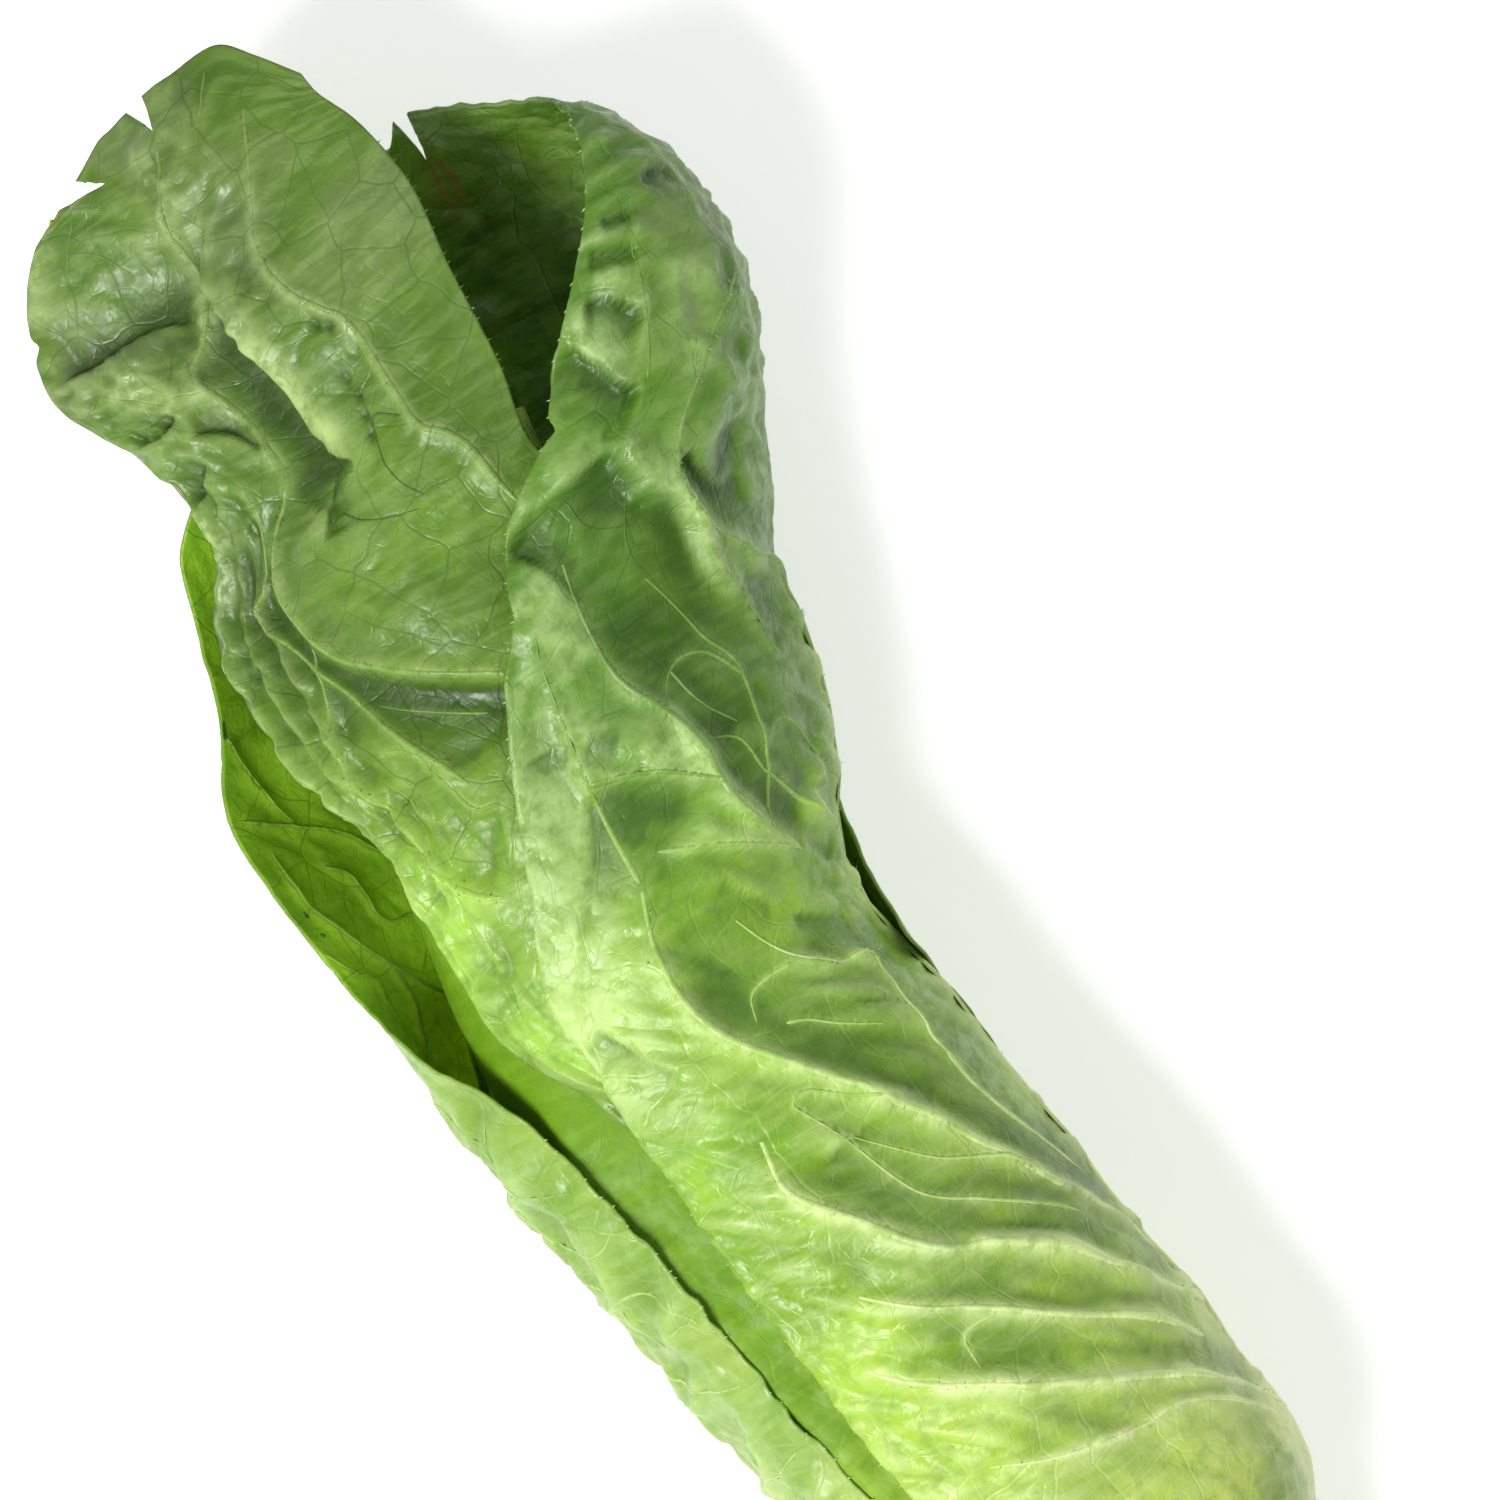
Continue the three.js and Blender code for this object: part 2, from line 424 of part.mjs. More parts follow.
function add(name, geometry, colour, roughness) {
  const material = new THREE.MeshStandardMaterial({ color: colour, roughness, metalness: 0 });
  const mesh = new THREE.Mesh(geometry, material);
  mesh.name = name;
  head.add(mesh);
  return mesh;
}

const stem = add("stem", stemGeometry(), 0xd9d8a4, 0.6);
const [stemY, , stemZ] = along(HEAD, STEM_CUT_X);
const [tipY, , tipZ] = along(HEAD, STEM_TIP_X);
stem.position.set(STEM_CUT_X, stemY, stemZ);
stem.quaternion.setFromUnitVectors(
  new THREE.Vector3(0, 1, 0),
  new THREE.Vector3(STEM_TIP_X - STEM_CUT_X, tipY - stemY, tipZ - stemZ).normalize(),
);

add("under_leaf", await withFlatBelly(leafGeometry(UNDER_LEAF, 14, 16)), 0x9cc25a, 0.45);
add("right_outer_leaf", leafGeometry(RIGHT_OUTER_LEAF, 8, 16), 0x86b04a, 0.45);
add("left_outer_leaf", leafGeometry(LEFT_OUTER_LEAF, 12, 20), 0x74ac2c, 0.45);
add("front_leaf", leafGeometry(FRONT_LEAF, 18, 24), 0x93bf4f, 0.4);
add("curled_leaf", leafGeometry(CURLED_LEAF, 16, 24), 0x6f9c47, 0.4);
add("left_middle_leaf", leafGeometry(LEFT_MIDDLE_LEAF, 10, 12), 0x9ccb55, 0.45);
add("top_middle_leaf", leafGeometry(TOP_MIDDLE_LEAF, 10, 12), 0xb4d678, 0.45);
add("right_middle_leaf", leafGeometry(RIGHT_MIDDLE_LEAF, 10, 12), 0xb4d678, 0.45);
add("back_middle_leaf", leafGeometry(BACK_MIDDLE_LEAF, 8, 12), 0xb4d678, 0.45);
for (let i = 0; i < HEART_LEAVES; i += 1) {
  add(`heart_leaf_${i + 1}`, leafGeometry(heartLeaf(i), 10, 14), 0xe3e6a0, 0.5);
}

head.position.set(-BELLY_MIDDLE[0], -BELLY_MIDDLE[1], 0);

export default head;
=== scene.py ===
# %% [markdown]
# # A head of sugarloaf chicory
#
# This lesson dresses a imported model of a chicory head. The head was cut from its root and lies on
# its side. On the real plant each leaf is a thin blade on a fleshy midrib, with side ribs that
# stand out of it, a net of small veins, blisters between them, and tiny hairs and teeth.
#
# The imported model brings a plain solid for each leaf, and each one here is replaced by a blade
# with its ribs. The model is in metres, +X runs from the cut stem to the tips and +Z is up.

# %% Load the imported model
import math

import bmesh
import bpy
import numpy as np
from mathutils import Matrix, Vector, noise


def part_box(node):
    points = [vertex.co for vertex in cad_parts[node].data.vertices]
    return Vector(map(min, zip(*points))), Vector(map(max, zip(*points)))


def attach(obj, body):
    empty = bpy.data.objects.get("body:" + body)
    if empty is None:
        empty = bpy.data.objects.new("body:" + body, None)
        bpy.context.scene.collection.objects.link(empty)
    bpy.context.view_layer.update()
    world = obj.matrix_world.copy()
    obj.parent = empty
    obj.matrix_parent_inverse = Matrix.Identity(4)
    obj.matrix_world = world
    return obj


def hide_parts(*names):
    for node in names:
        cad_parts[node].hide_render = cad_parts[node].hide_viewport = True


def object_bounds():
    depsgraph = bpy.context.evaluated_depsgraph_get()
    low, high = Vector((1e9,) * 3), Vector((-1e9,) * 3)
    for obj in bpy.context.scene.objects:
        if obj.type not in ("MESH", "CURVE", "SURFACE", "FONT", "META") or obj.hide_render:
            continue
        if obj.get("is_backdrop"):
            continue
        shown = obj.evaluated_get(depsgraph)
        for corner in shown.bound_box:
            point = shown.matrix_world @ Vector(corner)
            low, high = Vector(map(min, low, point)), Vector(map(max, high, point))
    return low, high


noise.seed_set(1)  # unseeded, the noise would start from the clock and differ each run

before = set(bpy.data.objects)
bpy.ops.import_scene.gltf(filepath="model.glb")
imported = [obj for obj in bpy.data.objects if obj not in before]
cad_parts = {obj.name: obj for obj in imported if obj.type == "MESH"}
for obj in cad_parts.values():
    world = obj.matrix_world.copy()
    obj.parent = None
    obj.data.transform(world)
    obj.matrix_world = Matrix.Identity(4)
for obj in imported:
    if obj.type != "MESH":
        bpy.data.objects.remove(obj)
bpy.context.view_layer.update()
MM = 0.001

# %% [markdown]
# ## The nets of the leaves
#
# A leaf's middle surface could be sculpted, or drawn as a patch with a few handles. Here it is a
# net of nine points across and a row for every bend along, the same net that the solids have, so
# that the dressed leaf lies where its solid lies. Where a leaf is wrapped in the head, its row is
# a ring: three angles round the head and a depth in mm under the outermost wrap.

# %% The head's outermost wrap
BELLY_MIDDLE = (-50, 7)
HEAD = np.array([  # x, centre y, half width, centre z, top z, bottom z
    [-218, -11, 20, 36, 55.5, 16.5],
    [-200, -9.6, 25.5, 37.8, 62.5, 13],
    [-182, -8.2, 34, 39.6, 71, 6.5],
    [-160, -6.8, 43, 41.8, 79.5, 1.8],
    [-125, -1, 46.5, 44, 85.5, 0],
    [-90, 5, 48.5, 44, 87, 0],
    [-50, 12.5, 49, 44, 87, 0],
    [-10, 19, 49.5, 44, 87, 0],
    [20, 14.5, 55.5, 44, 88, 0],
    [48, 13, 60.5, 45, 90, 0],
    [75, 5.5, 62.5, 46, 90, 2],
    [100, -4, 64, 47, 89, 4],
    [125, -5, 62, 48, 86, 12],
])


def along_head(x):
    """The wrap's centre y, half width, centre z, top z and bottom z at one place along the head."""
    steps = np.diff(HEAD[:, 0])
    slopes = np.diff(HEAD[:, 1:], axis=0) / steps[:, None]
    tangents = np.vstack([slopes[:1], slopes, slopes[-1:]])[:len(HEAD)]
    for k in range(1, len(HEAD) - 1):
        mixed = slopes[k - 1] * steps[k] + slopes[k] * steps[k - 1]
        tangents[k] = mixed / (steps[k - 1] + steps[k])
    tangents[-1] = slopes[-1]
    i = int(np.clip(np.searchsorted(HEAD[:, 0], x, side="left") - 1, 0, len(HEAD) - 2))
    q = (x - HEAD[i, 0]) / steps[i]
    return ((1 + 2 * q) * (1 - q) ** 2 * HEAD[i, 1:]
            + q * (1 - q) ** 2 * steps[i] * tangents[i]
            + q * q * (3 - 2 * q) * HEAD[i + 1, 1:]
            + q * q * (q - 1) * steps[i] * tangents[i + 1])


def under(x, angle, depth_of):
    """A point inside the wrap. Angle 0 is the left side, 90 the top and 270 the belly."""
    centre_y, half_width, centre_z, top, bottom = along_head(x)
    c, s = math.cos(math.radians(angle)), math.sin(math.radians(angle))
    dy = half_width * c
    dz = (top - centre_z if s > 0 else centre_z - bottom) * s
    radius = math.hypot(dy, dz)
    kept = (radius - depth_of(radius)) / radius
    return [x, centre_y + dy * kept, centre_z + dz * kept]


def fan(angles):
    """Nine angles over the first margin's, the midrib's and the last margin's."""
    return np.interp(np.arange(9), [0, 4, 8], angles)


def ring(x, angles, depths):
    """A row of the net at its own depth in mm under the wrap at each of nine points."""
    return [under(x, a, lambda outer, d=d: d) for a, d in zip(fan(angles), depths)]


def collar(x, radius, angles):
    """A row of the net at one radius round the stem: the leaf's foot."""
    return [under(x, a, lambda outer: outer - radius) for a in fan(angles)]


print("half width of the head at the belly:", round(float(along_head(-50)[1]), 1), "mm")

# %% The outer leaves' nets
NETS = {}
NETS["front_leaf"] = [
    collar(-201, 16.9, [118, 180, 242]),
    ring(-182, [96, 180, 262], [5, 5, 5, 5, 5.5, 6.5, 7.6, 8.2, 8.6]),
    ring(-160, [78, 180, 276], [1.5, 1.2, 1, 1.2, 1.2, 5.2, 7.2, 8.4, 9]),
    ring(-125, [59, 180, 286], [2, 1, 0.6, 0.6, 0.6, 5, 6.8, 8, 9]),
    ring(-90, [56, 180, 289], [2.5, 1, 0.6, 0.6, 0.6, 5, 6.8, 8, 9]),
    ring(-50, [61, 180, 289], [3, 1, 0.6, 0.8, 1.5, 5, 7, 8.5, 9]),
    ring(-10, [67, 180, 288], [2.5, 1, 0.8, 1.2, 2.5, 6, 8, 9, 9.5]),
    ring(20, [76, 180, 284], [2, 0.8, 0.5, 0.6, 0.8, 5, 8.5, 10, 11.5]),
    ring(48, [87, 180, 282], [1.2, 0.6, 0.5, 0.5, 0.6, 5.4, 8.6, 10.8, 13]),
    [[77, 0, 88], [76, -16, 88.5], [76, -36, 83.5], [76, -53, 70], [76, -59.5, 50],
     [77, -53, 29], [78, -36, 15], [79, -17, 11], [79, 2, 12.5]],
    [[103, -26, 86], [102.5, -40, 86.5], [102, -54, 81], [102, -66.5, 69], [103, -71, 51],
     [104, -63, 31], [105, -46, 17], [106, -24, 11], [105, 2, 12]],
    [[128, -47, 84], [129, -56, 82.5], [130, -63.5, 77], [130, -69, 66], [130, -70.5, 52],
     [133, -62, 34], [136, -47, 22], [138, -28, 16], [136, -6, 17]],
    [[143, -54, 79.5], [144, -57.5, 77], [145, -60.5, 72], [145.5, -62.5, 65], [146, -62, 56],
     [148, -55, 43], [151, -43, 32], [153, -27, 25], [150, -10, 24]],
    [[150, -55, 75], [151.5, -54, 72], [153, -52.5, 68.5], [155, -50.5, 65], [157, -48, 60],
     [160, -43, 53], [164, -35, 45], [169, -26, 36], [170, -14, 30]],
]
NETS["curled_leaf"] = [
    collar(-197, 15.7, [40, 90, 140]),
    ring(-178, [40, 93, 147], [8, 8, 8, 8, 8, 8, 8.4, 8.8, 9]),
    ring(-150, [48, 101, 155], [6, 6, 5.5, 5.2, 5, 5, 5, 5, 5]),
    ring(-110, [60, 108, 157], [6, 5.5, 5, 5, 5, 5, 5, 5, 5]),
    ring(-70, [64, 110, 157], [6.5, 5.5, 5, 5, 5, 5, 5, 5, 5.5]),
    [[-27, 36, 76], [-27, 30, 78.5], [-27, 24, 80], [-27, 16, 81.5], [-27, 8, 81.5],
     [-27, -2, 79.8], [-27, -11, 75], [-27, -18.5, 67.5], [-27, -23.5, 58]],
    [[-7, 47, 72], [-7, 42.5, 75.5], [-7, 36.5, 78.5], [-7, 29, 81], [-7, 19, 82.3],
     [-7, 7, 81.8], [-7, -5, 78], [-7, -13.5, 71.5], [-7, -19.5, 63]],
    [[14, 49, 69], [14, 45, 73], [14, 39, 77], [14, 31, 80.3], [14, 19, 82.7],
     [14, 6, 82.8], [14, -8, 79.5], [14, -18.5, 73], [14, -26.5, 63.5]],
    [[41, 49.5, 65.5], [41, 45, 71.5], [41, 38, 77], [41, 29.5, 80.8], [41, 18, 83.6],
     [41, 4, 84], [41, -11, 82], [41, -24, 76.5], [41, -34, 67]],
    [[71, 58, 57], [70, 53, 64.5], [70, 45, 71.5], [70, 35.5, 76.5], [70, 24, 80.4],
     [70, 12, 82.5], [70, 0, 83.4], [71, -14, 82], [72, -28, 77]],
    [[93, 58, 53], [92, 52, 60], [92, 44.5, 66.5], [91, 36, 71.5], [91, 26, 76],
     [91, 14, 79], [92, 2, 80.5], [93, -8, 80.3], [94, -17, 78]],
    [[113, 48, 57], [112, 43.5, 62], [111, 37.5, 66.5], [110, 30, 70.5], [110, 22, 73.7],
     [110, 12, 76.5], [110.5, 1, 78.2], [111, -10, 78.6], [112, -19, 77]],
    [[133, 53, 54.5], [131, 46, 59.5], [129, 38.5, 63.5], [128, 31, 66.8], [127, 22, 70.3],
     [127, 12, 73.5], [128, 1, 75.8], [130, -10, 77], [133, -20, 76]],
    [[151, 62.5, 51], [150, 54, 55.5], [148, 45, 59], [146, 35, 62.3], [146, 25, 66.2],
     [146, 14, 70], [147, 2, 72.6], [149, -10, 74.2], [152, -21.5, 74]],
    [[169, 59, 49.5], [168, 50.5, 53], [167, 41, 56.3], [166, 32, 59.5], [165, 22, 63],
     [165, 12, 66.3], [166, 2, 68.8], [167, -8, 70.5], [168, -18.5, 71]],
    [[180, 51, 50], [181, 44.5, 52], [181, 37, 54.5], [181, 28.5, 57.3], [181, 20, 60],
     [181, 11, 62.7], [181.5, 2, 65], [180, -6, 67], [177, -14.5, 68.5]],
    [[183, 46, 51], [187, 38, 52], [190, 31.5, 53.5], [192, 26, 55], [195, 17, 57.3],
     [196, 8, 59.3], [196, -2, 61.5], [190, -7.5, 64], [182, -13.5, 66.5]],
]
NETS["left_outer_leaf"] = [
    collar(-206, 18.5, [-78, -18, 42]),
    ring(-185, [-82, -14, 52], [4, 4, 3.5, 3, 2.5, 2.5, 2.5, 2.5, 2.5]),
    ring(-160, [-90, -17, 52], [4, 4, 4, 4, 2.5, 1, 0.6, 0.8, 1]),
    ring(-125, [-92, -19, 46], [4, 4, 4, 4, 2.5, 1, 0.5, 0.6, 1]),
    ring(-90, [-92, -19, 46], [4, 4, 4, 4, 2.5, 1, 0.5, 0.6, 1]),
    ring(-50, [-92, -19, 47], [4, 4, 4, 4, 2.5, 1, 0.4, 0.4, 0.6]),
    [[-20, 10, 4.2], [-20, 25, 5.2], [-20, 38.5, 10.2], [-20, 51.5, 17.5], [-20, 61, 27],
     [-20, 66.5, 38], [-20, 66.5, 49.5], [-20, 61.5, 60], [-20, 54, 69.5]],
    [[0, 8, 4.5], [0, 23, 6], [0, 36, 10], [0, 46.5, 16], [0, 55.5, 23.5],
     [0, 62, 32], [1, 66, 41], [2, 67, 49.5], [3, 65.5, 58]],
    [[20, 4, 5], [20, 18.5, 7], [20, 31, 11], [20, 41.5, 16.5], [20, 50, 23],
     [20, 57, 30], [20, 62.5, 37.5], [20, 67, 45], [19.5, 70.5, 52]],
    [[41, 4, 5.5], [41, 18.5, 7], [41, 31, 10.5], [41, 42, 15.5], [41, 51, 21.5],
     [41, 58, 28], [41, 64, 35], [41, 69.5, 42], [41, 74, 49]],
    [[60, 12, 8.5], [60, 22, 10], [60, 32.5, 12.5], [60, 43, 16.5], [60, 52, 21.5],
     [60, 59, 27.5], [60, 65, 33.5], [60.5, 70.5, 40], [61, 75, 46]],
    [[79, 18, 14.5], [79, 25, 15.3], [79, 32.5, 17], [79, 40, 19.3], [79, 47, 22.5],
     [79, 53, 27], [79, 58, 32], [79.5, 62.5, 37.5], [80, 66.5, 43]],
    [[95, 15, 24], [95, 22, 23.8], [95, 29, 24], [95.5, 35.5, 24.8], [96, 41.5, 26.5],
     [97, 47, 28.8], [98, 52, 32], [99, 57, 36], [100, 61, 41]],
    [[107, 19, 30.2], [107, 24, 29.5], [107, 29, 29.2], [107.5, 34, 29.5], [108, 39, 30.5],
     [109, 43.5, 32.3], [110, 48, 35], [111.5, 52.5, 38.5], [113, 56.5, 43]],
    [[115, 23, 36], [116, 26, 35.5], [117, 29, 35.5], [118, 32, 36], [119, 35, 37],
     [120, 37.5, 38.5], [121, 40, 40.5], [122, 43, 43], [123, 46, 46]],
]
NETS["right_outer_leaf"] = [
    collar(-206, 18.5, [158, 194, 230]),
    ring(-187, [172, 207, 242], [2, 2, 2, 2.2, 2.6, 3, 3.4, 3.8, 4]),
    ring(-172, [190, 218, 246], [0.6, 0.8, 1.4, 2.2, 3, 3.6, 4, 4.2, 4.3]),
    ring(-150, [198, 224, 250], [0.2, 0.6, 1.4, 2.5, 3.5, 4, 4.2, 4.3, 4.4]),
    ring(-120, [198, 224, 250], [0.2, 0.6, 1.4, 2.5, 3.5, 4, 4.2, 4.3, 4.4]),
    ring(-85, [194, 222, 249], [-0.2, 0.3, 1.3, 2.5, 3.5, 4.1, 4.3, 4.4, 4.4]),
    ring(-50, [177, 212, 247], [-1.4, -1, 0, 1.4, 2.8, 3.6, 4.1, 4.4, 4.4]),
    ring(-25, [171, 208, 245], [-1.8, -1.4, -0.4, 1, 2.4, 3.4, 4, 4.4, 4.4]),
    ring(0, [175, 208, 243], [-1.6, -1.4, -0.6, 0.7, 2, 3.2, 4, 4.4, 4.4]),
    ring(12, [190, 215, 241], [-1.4, -1.1, -0.4, 0.8, 2, 3, 3.8, 4.3, 4.6]),
    ring(26, [206, 222, 238], [0, 0.6, 1.4, 2.2, 3, 3.8, 4.4, 4.8, 5]),
    ring(42, [212, 221, 230], [1.4, 1.8, 2.2, 2.6, 3, 3.4, 3.8, 4, 4.2]),
]
NETS["under_leaf"] = [
    collar(-210, 20.3, [225, 270, 315]),
    ring(-188, [222, 270, 324], [0.4, 0.3, 0.2, 0, 0, 0, 0.2, 0.3, 0.4]),
    [[-158, -42, 18], [-158, -36.5, 10.5], [-158, -29, 5.4], [-158, -18.5, 2.8],
     [-158, -6.5, 1.9], [-158, 6, 3], [-158, 16, 7], [-158, 23, 12.5], [-158, 28, 19]],
    [[-125, -40.5, 17], [-125, -34.5, 9], [-125, -26, 3.4], [-125, -14, 0.4],
     [-125, -1, 0.2], [-125, 12, 0.4], [-125, 23.5, 4], [-125, 32, 11], [-125, 38, 19]],
    [[-85, -36, 17], [-85, -30, 9.5], [-85, -21.5, 3.6], [-85, -9, 0.1],
     [-85, 5, 0.1], [-85, 19, 0.1], [-85, 31, 4], [-85, 40, 11.5], [-85, 45.5, 19]],
    [[-45, -29.5, 17], [-45, -24, 9.5], [-45, -15.5, 3.6], [-45, -3, 0.1],
     [-45, 12, 0.1], [-45, 26, 0.1], [-45, 37.5, 4.2], [-45, 47, 11.5], [-45, 54, 18]],
    [[-5, -25, 17], [-5, -20, 9.2], [-5, -12, 3.2], [-5, 0, 0.1], [-5, 14, 0.1],
     [-5, 27, 0.2], [-5, 37, 3.6], [-5, 45, 8.2], [-5, 50.5, 13]],
    [[35, -28, 12.5], [35, -23, 7.4], [35, -15.5, 3], [35, -5, 0.2], [35, 6, 0.1],
     [35, 17, 0.6], [35, 27, 3], [35, 35.5, 6.4], [35, 43, 10.6]],
    [[70, -26, 9.5], [70, -22, 6.8], [70, -16, 4.4], [70, -9, 2.6], [70, 0, 2],
     [70, 10, 2.6], [70, 18.5, 4.4], [70, 27, 7.2], [70, 34.5, 10.6]],
    [[96, -18, 6.2], [98, -14, 5.4], [100, -10, 4.9], [101, -5, 4.7], [101.5, 0, 4.6],
     [101, 5, 4.9], [100, 10, 5.6], [98, 15, 6.8], [95, 20, 8.8]],
]
print("outer leaves:", ", ".join(NETS))

# %% The middle leaves' nets
NETS["left_middle_leaf"] = [
    collar(-193, 14.5, [0, 60, 120]),
    ring(-172, [-5, 62, 128], [9, 9.5, 10.5, 12, 13, 13, 13, 13, 13]),
    ring(-158, [-5, 62, 129], [8, 8, 8.2, 9, 9.6, 10, 10, 10, 10]),
    ring(-140, [-5, 62, 130], [7.5, 7.5, 7.5, 8.2, 8.8, 9, 9, 9, 9]),
    ring(-105, [-5, 62, 130], [7.5, 7.5, 7.5, 8.2, 9.4, 9.6, 9.4, 9.2, 9]),
    ring(-60, [-5, 62, 130], [7.5, 7.5, 7.5, 8.4, 10, 10, 9.6, 9.4, 9.2]),
    ring(-15, [0, 62, 128], [12, 12, 11.6, 11.2, 10.8, 10.4, 10, 9.6, 9.4]),
    ring(20, [10, 64, 118], [17, 16, 14.4, 12.4, 11, 10.4, 10, 9.6, 9.6]),
    ring(48, [30, 68, 106], [20, 19, 18, 17, 15.5, 14.4, 13.6, 13.2, 13]),
]
NETS["top_middle_leaf"] = [
    collar(-188, 13.4, [42, 96, 150]),
    ring(-168, [34, 93, 152], [14.5, 15, 15.4, 15.6, 15.6, 15.6, 15.6, 15.6, 15.6]),
    ring(-155, [30, 94, 158], [12.8, 13, 13.2, 13.2, 13.2, 13.2, 13, 13, 13]),
    ring(-140, [30, 98, 166], [12.2, 12.2, 12.2, 12.2, 12.2, 12.2, 12.2, 12.4, 12.8]),
    ring(-95, [30, 98, 166], [11.9, 11.9, 11.9, 12, 12.2, 12.2, 12.2, 12.4, 12.8]),
    ring(-50, [32, 98, 164], [12.2, 12.2, 12.2, 12.4, 12.4, 12.4, 12.4, 12.6, 13.2]),
    ring(-10, [40, 98, 156], [14.4, 14.2, 14, 13.6, 12.6, 12.6, 12.8, 13.2, 14]),
    ring(25, [48, 96, 146], [16, 15.6, 15.2, 14.6, 14, 13.8, 13.8, 14.4, 15]),
    ring(55, [62, 94, 128], [18.4, 18, 17.4, 17, 16.6, 16.6, 16.8, 17.2, 18]),
]
NETS["right_middle_leaf"] = [
    collar(-190, 13.7, [168, 228, 288]),
    ring(-170, [158, 228, 296], [12, 12, 12.2, 12.6, 13, 13.4, 13.8, 14, 14]),
    ring(-140, [150, 224, 300], [8.8, 8.8, 8.8, 9.4, 10.4, 11.7, 12.6, 13.2, 13.2]),
    ring(-95, [150, 224, 300], [8.8, 8.8, 8.8, 9.4, 10.4, 11.7, 12.6, 13.2, 13.2]),
    ring(-50, [150, 224, 300], [9, 9, 9.2, 9.8, 10.8, 12, 13, 13.4, 13.4]),
    ring(-10, [150, 222, 296], [9.5, 9.8, 10.4, 11.2, 12, 13, 13.6, 14, 14]),
    ring(25, [154, 220, 286], [11, 12, 13, 13.6, 14, 14.6, 15, 15.6, 16]),
    ring(55, [172, 218, 266], [18, 17, 16.5, 16.5, 16.5, 16.5, 16.5, 17, 18]),
]
NETS["back_middle_leaf"] = [
    collar(-188, 13.1, [298, 336, 374]),
    ring(-168, [298, 336, 374], [11, 11.5, 12, 12.5, 13, 13.5, 14, 14, 14]),
    ring(-140, [303, 341, 379], [8.4, 8.4, 8.4, 9.2, 10.4, 11.2, 11.6, 11.6, 11.6]),
    ring(-95, [303, 341, 379], [8.4, 8.4, 8.4, 9.2, 10.4, 11, 11.2, 11.2, 11.2]),
    ring(-50, [303, 341, 379], [8.4, 8.4, 8.4, 9.2, 10.4, 11, 11.2, 11.2, 11.2]),
    ring(-12, [303, 339, 374], [9, 9.5, 10.5, 12, 13.5, 14.8, 15.6, 16, 16.2]),
    ring(20, [303, 332, 362], [12, 13, 14, 15.5, 17, 18.5, 19.5, 20.5, 21]),
    ring(45, [306, 329, 352], [15, 16.5, 18, 19.5, 21, 22, 23, 23.5, 24]),
]
print("leaves with nets:", len(NETS))

# %% The heart leaves' nets
STEM_SHOULDER = (-208, 17.2)  # x and radius
STEM_TIP = (-153, 1.5)
HEART_LEAVES = 6
HEART_FIRST_X = -183.5
HEART_FOOT_STEP = 5.6
HEART_OPENING = 34
HEART_SHARE = 0.624
HEART_SHARE_STEP = 0.071
HEART_ROOM = 46
HEART_TIP_X = 112
HEART_TIP_STEP = 8
HEART_TURN = 137.5
FOOT_CLEARANCE = 1.5


def smooth(x, low=0.0, high=1.0):
    """0 below low, 1 above high, and an even bend between."""
    q = np.clip((np.asarray(x, float) - low) / (high - low), 0, 1)
    return q * q * (3 - 2 * q)


def heart_net(i):
    """Heart leaf i, counted from the outside: a rolled leaf that closes over the next one."""
    foot_x = HEART_FIRST_X + HEART_FOOT_STEP * i
    tip_x = HEART_TIP_X - HEART_TIP_STEP * i
    foot = np.interp(foot_x, *zip(STEM_SHOULDER, STEM_TIP)) + FOOT_CLEARANCE
    net = []
    for q in np.linspace(0, 1, 15):
        x = foot_x + (tip_x - foot_x) * (0.6 * q + 0.4 * q * q)
        opened = float(smooth(x, foot_x, foot_x + HEART_OPENING))
        closing = float(np.clip((x - 20) / (tip_x - 20), 0, 1))
        half = (55 + 45 * opened) * (1 - 0.62 * closing ** 3)
        share = (HEART_SHARE - HEART_SHARE_STEP * i) * (1 - 0.45 * closing ** 2)

        def depth(outer):
            return outer - (foot + (share * min(outer, HEART_ROOM) - foot) * opened)

        middle = 40 + HEART_TURN * i
        net.append([under(x, middle + half * n / 4, depth) for n in range(-4, 5)])
    return net


for number in range(HEART_LEAVES):
    NETS[f"heart_leaf_{number + 1}"] = heart_net(number)
print("leaves with nets:", len(NETS))

# %% [markdown]
# ## From a net to a smooth blade
#
# The blade starts as a flat grid, the plainest sheet that Blender makes, and each of its corners
# is carried to its place on a smooth surface through the net. The places across run from -1 at
# one margin over 0 at the midrib to 1 at the other, and the places along from 0 at the foot to 1
# at the tip. Patterns are drawn in flat measures: mm from the midrib and mm from the foot.

# %% A smooth curve through points, and a blade


def curve_through(points, shares):
    """Points at the given shares of a smooth curve that passes through all of points."""
    points = np.asarray(points, float)
    place = (len(points) - 1) * np.asarray(shares, float)
    i = np.clip(place.astype(int), 0, len(points) - 2)
    q = (place - i).reshape((-1,) + (1,) * (points.ndim - 1))
    padded = np.concatenate([2 * points[:1] - points[1:2], points,
                             2 * points[-1:] - points[-2:-1]])
    a, b, c, d = (padded[i + k] for k in range(4))

    def gap(p, r):
        return np.maximum(np.linalg.norm(r - p, axis=-1, keepdims=True), 1e-6) ** 0.5

    before, here, after = gap(a, b), gap(b, c), gap(c, d)
    start = ((b - a) / before - (c - a) / (before + here) + (c - b) / here) * here
    end = ((c - b) / here - (d - b) / (here + after) + (d - c) / after) * here
    return ((1 + 2 * q) * (1 - q) ** 2 * b + q * (1 - q) ** 2 * start
            + q * q * (3 - 2 * q) * c + q * q * (q - 1) * end)


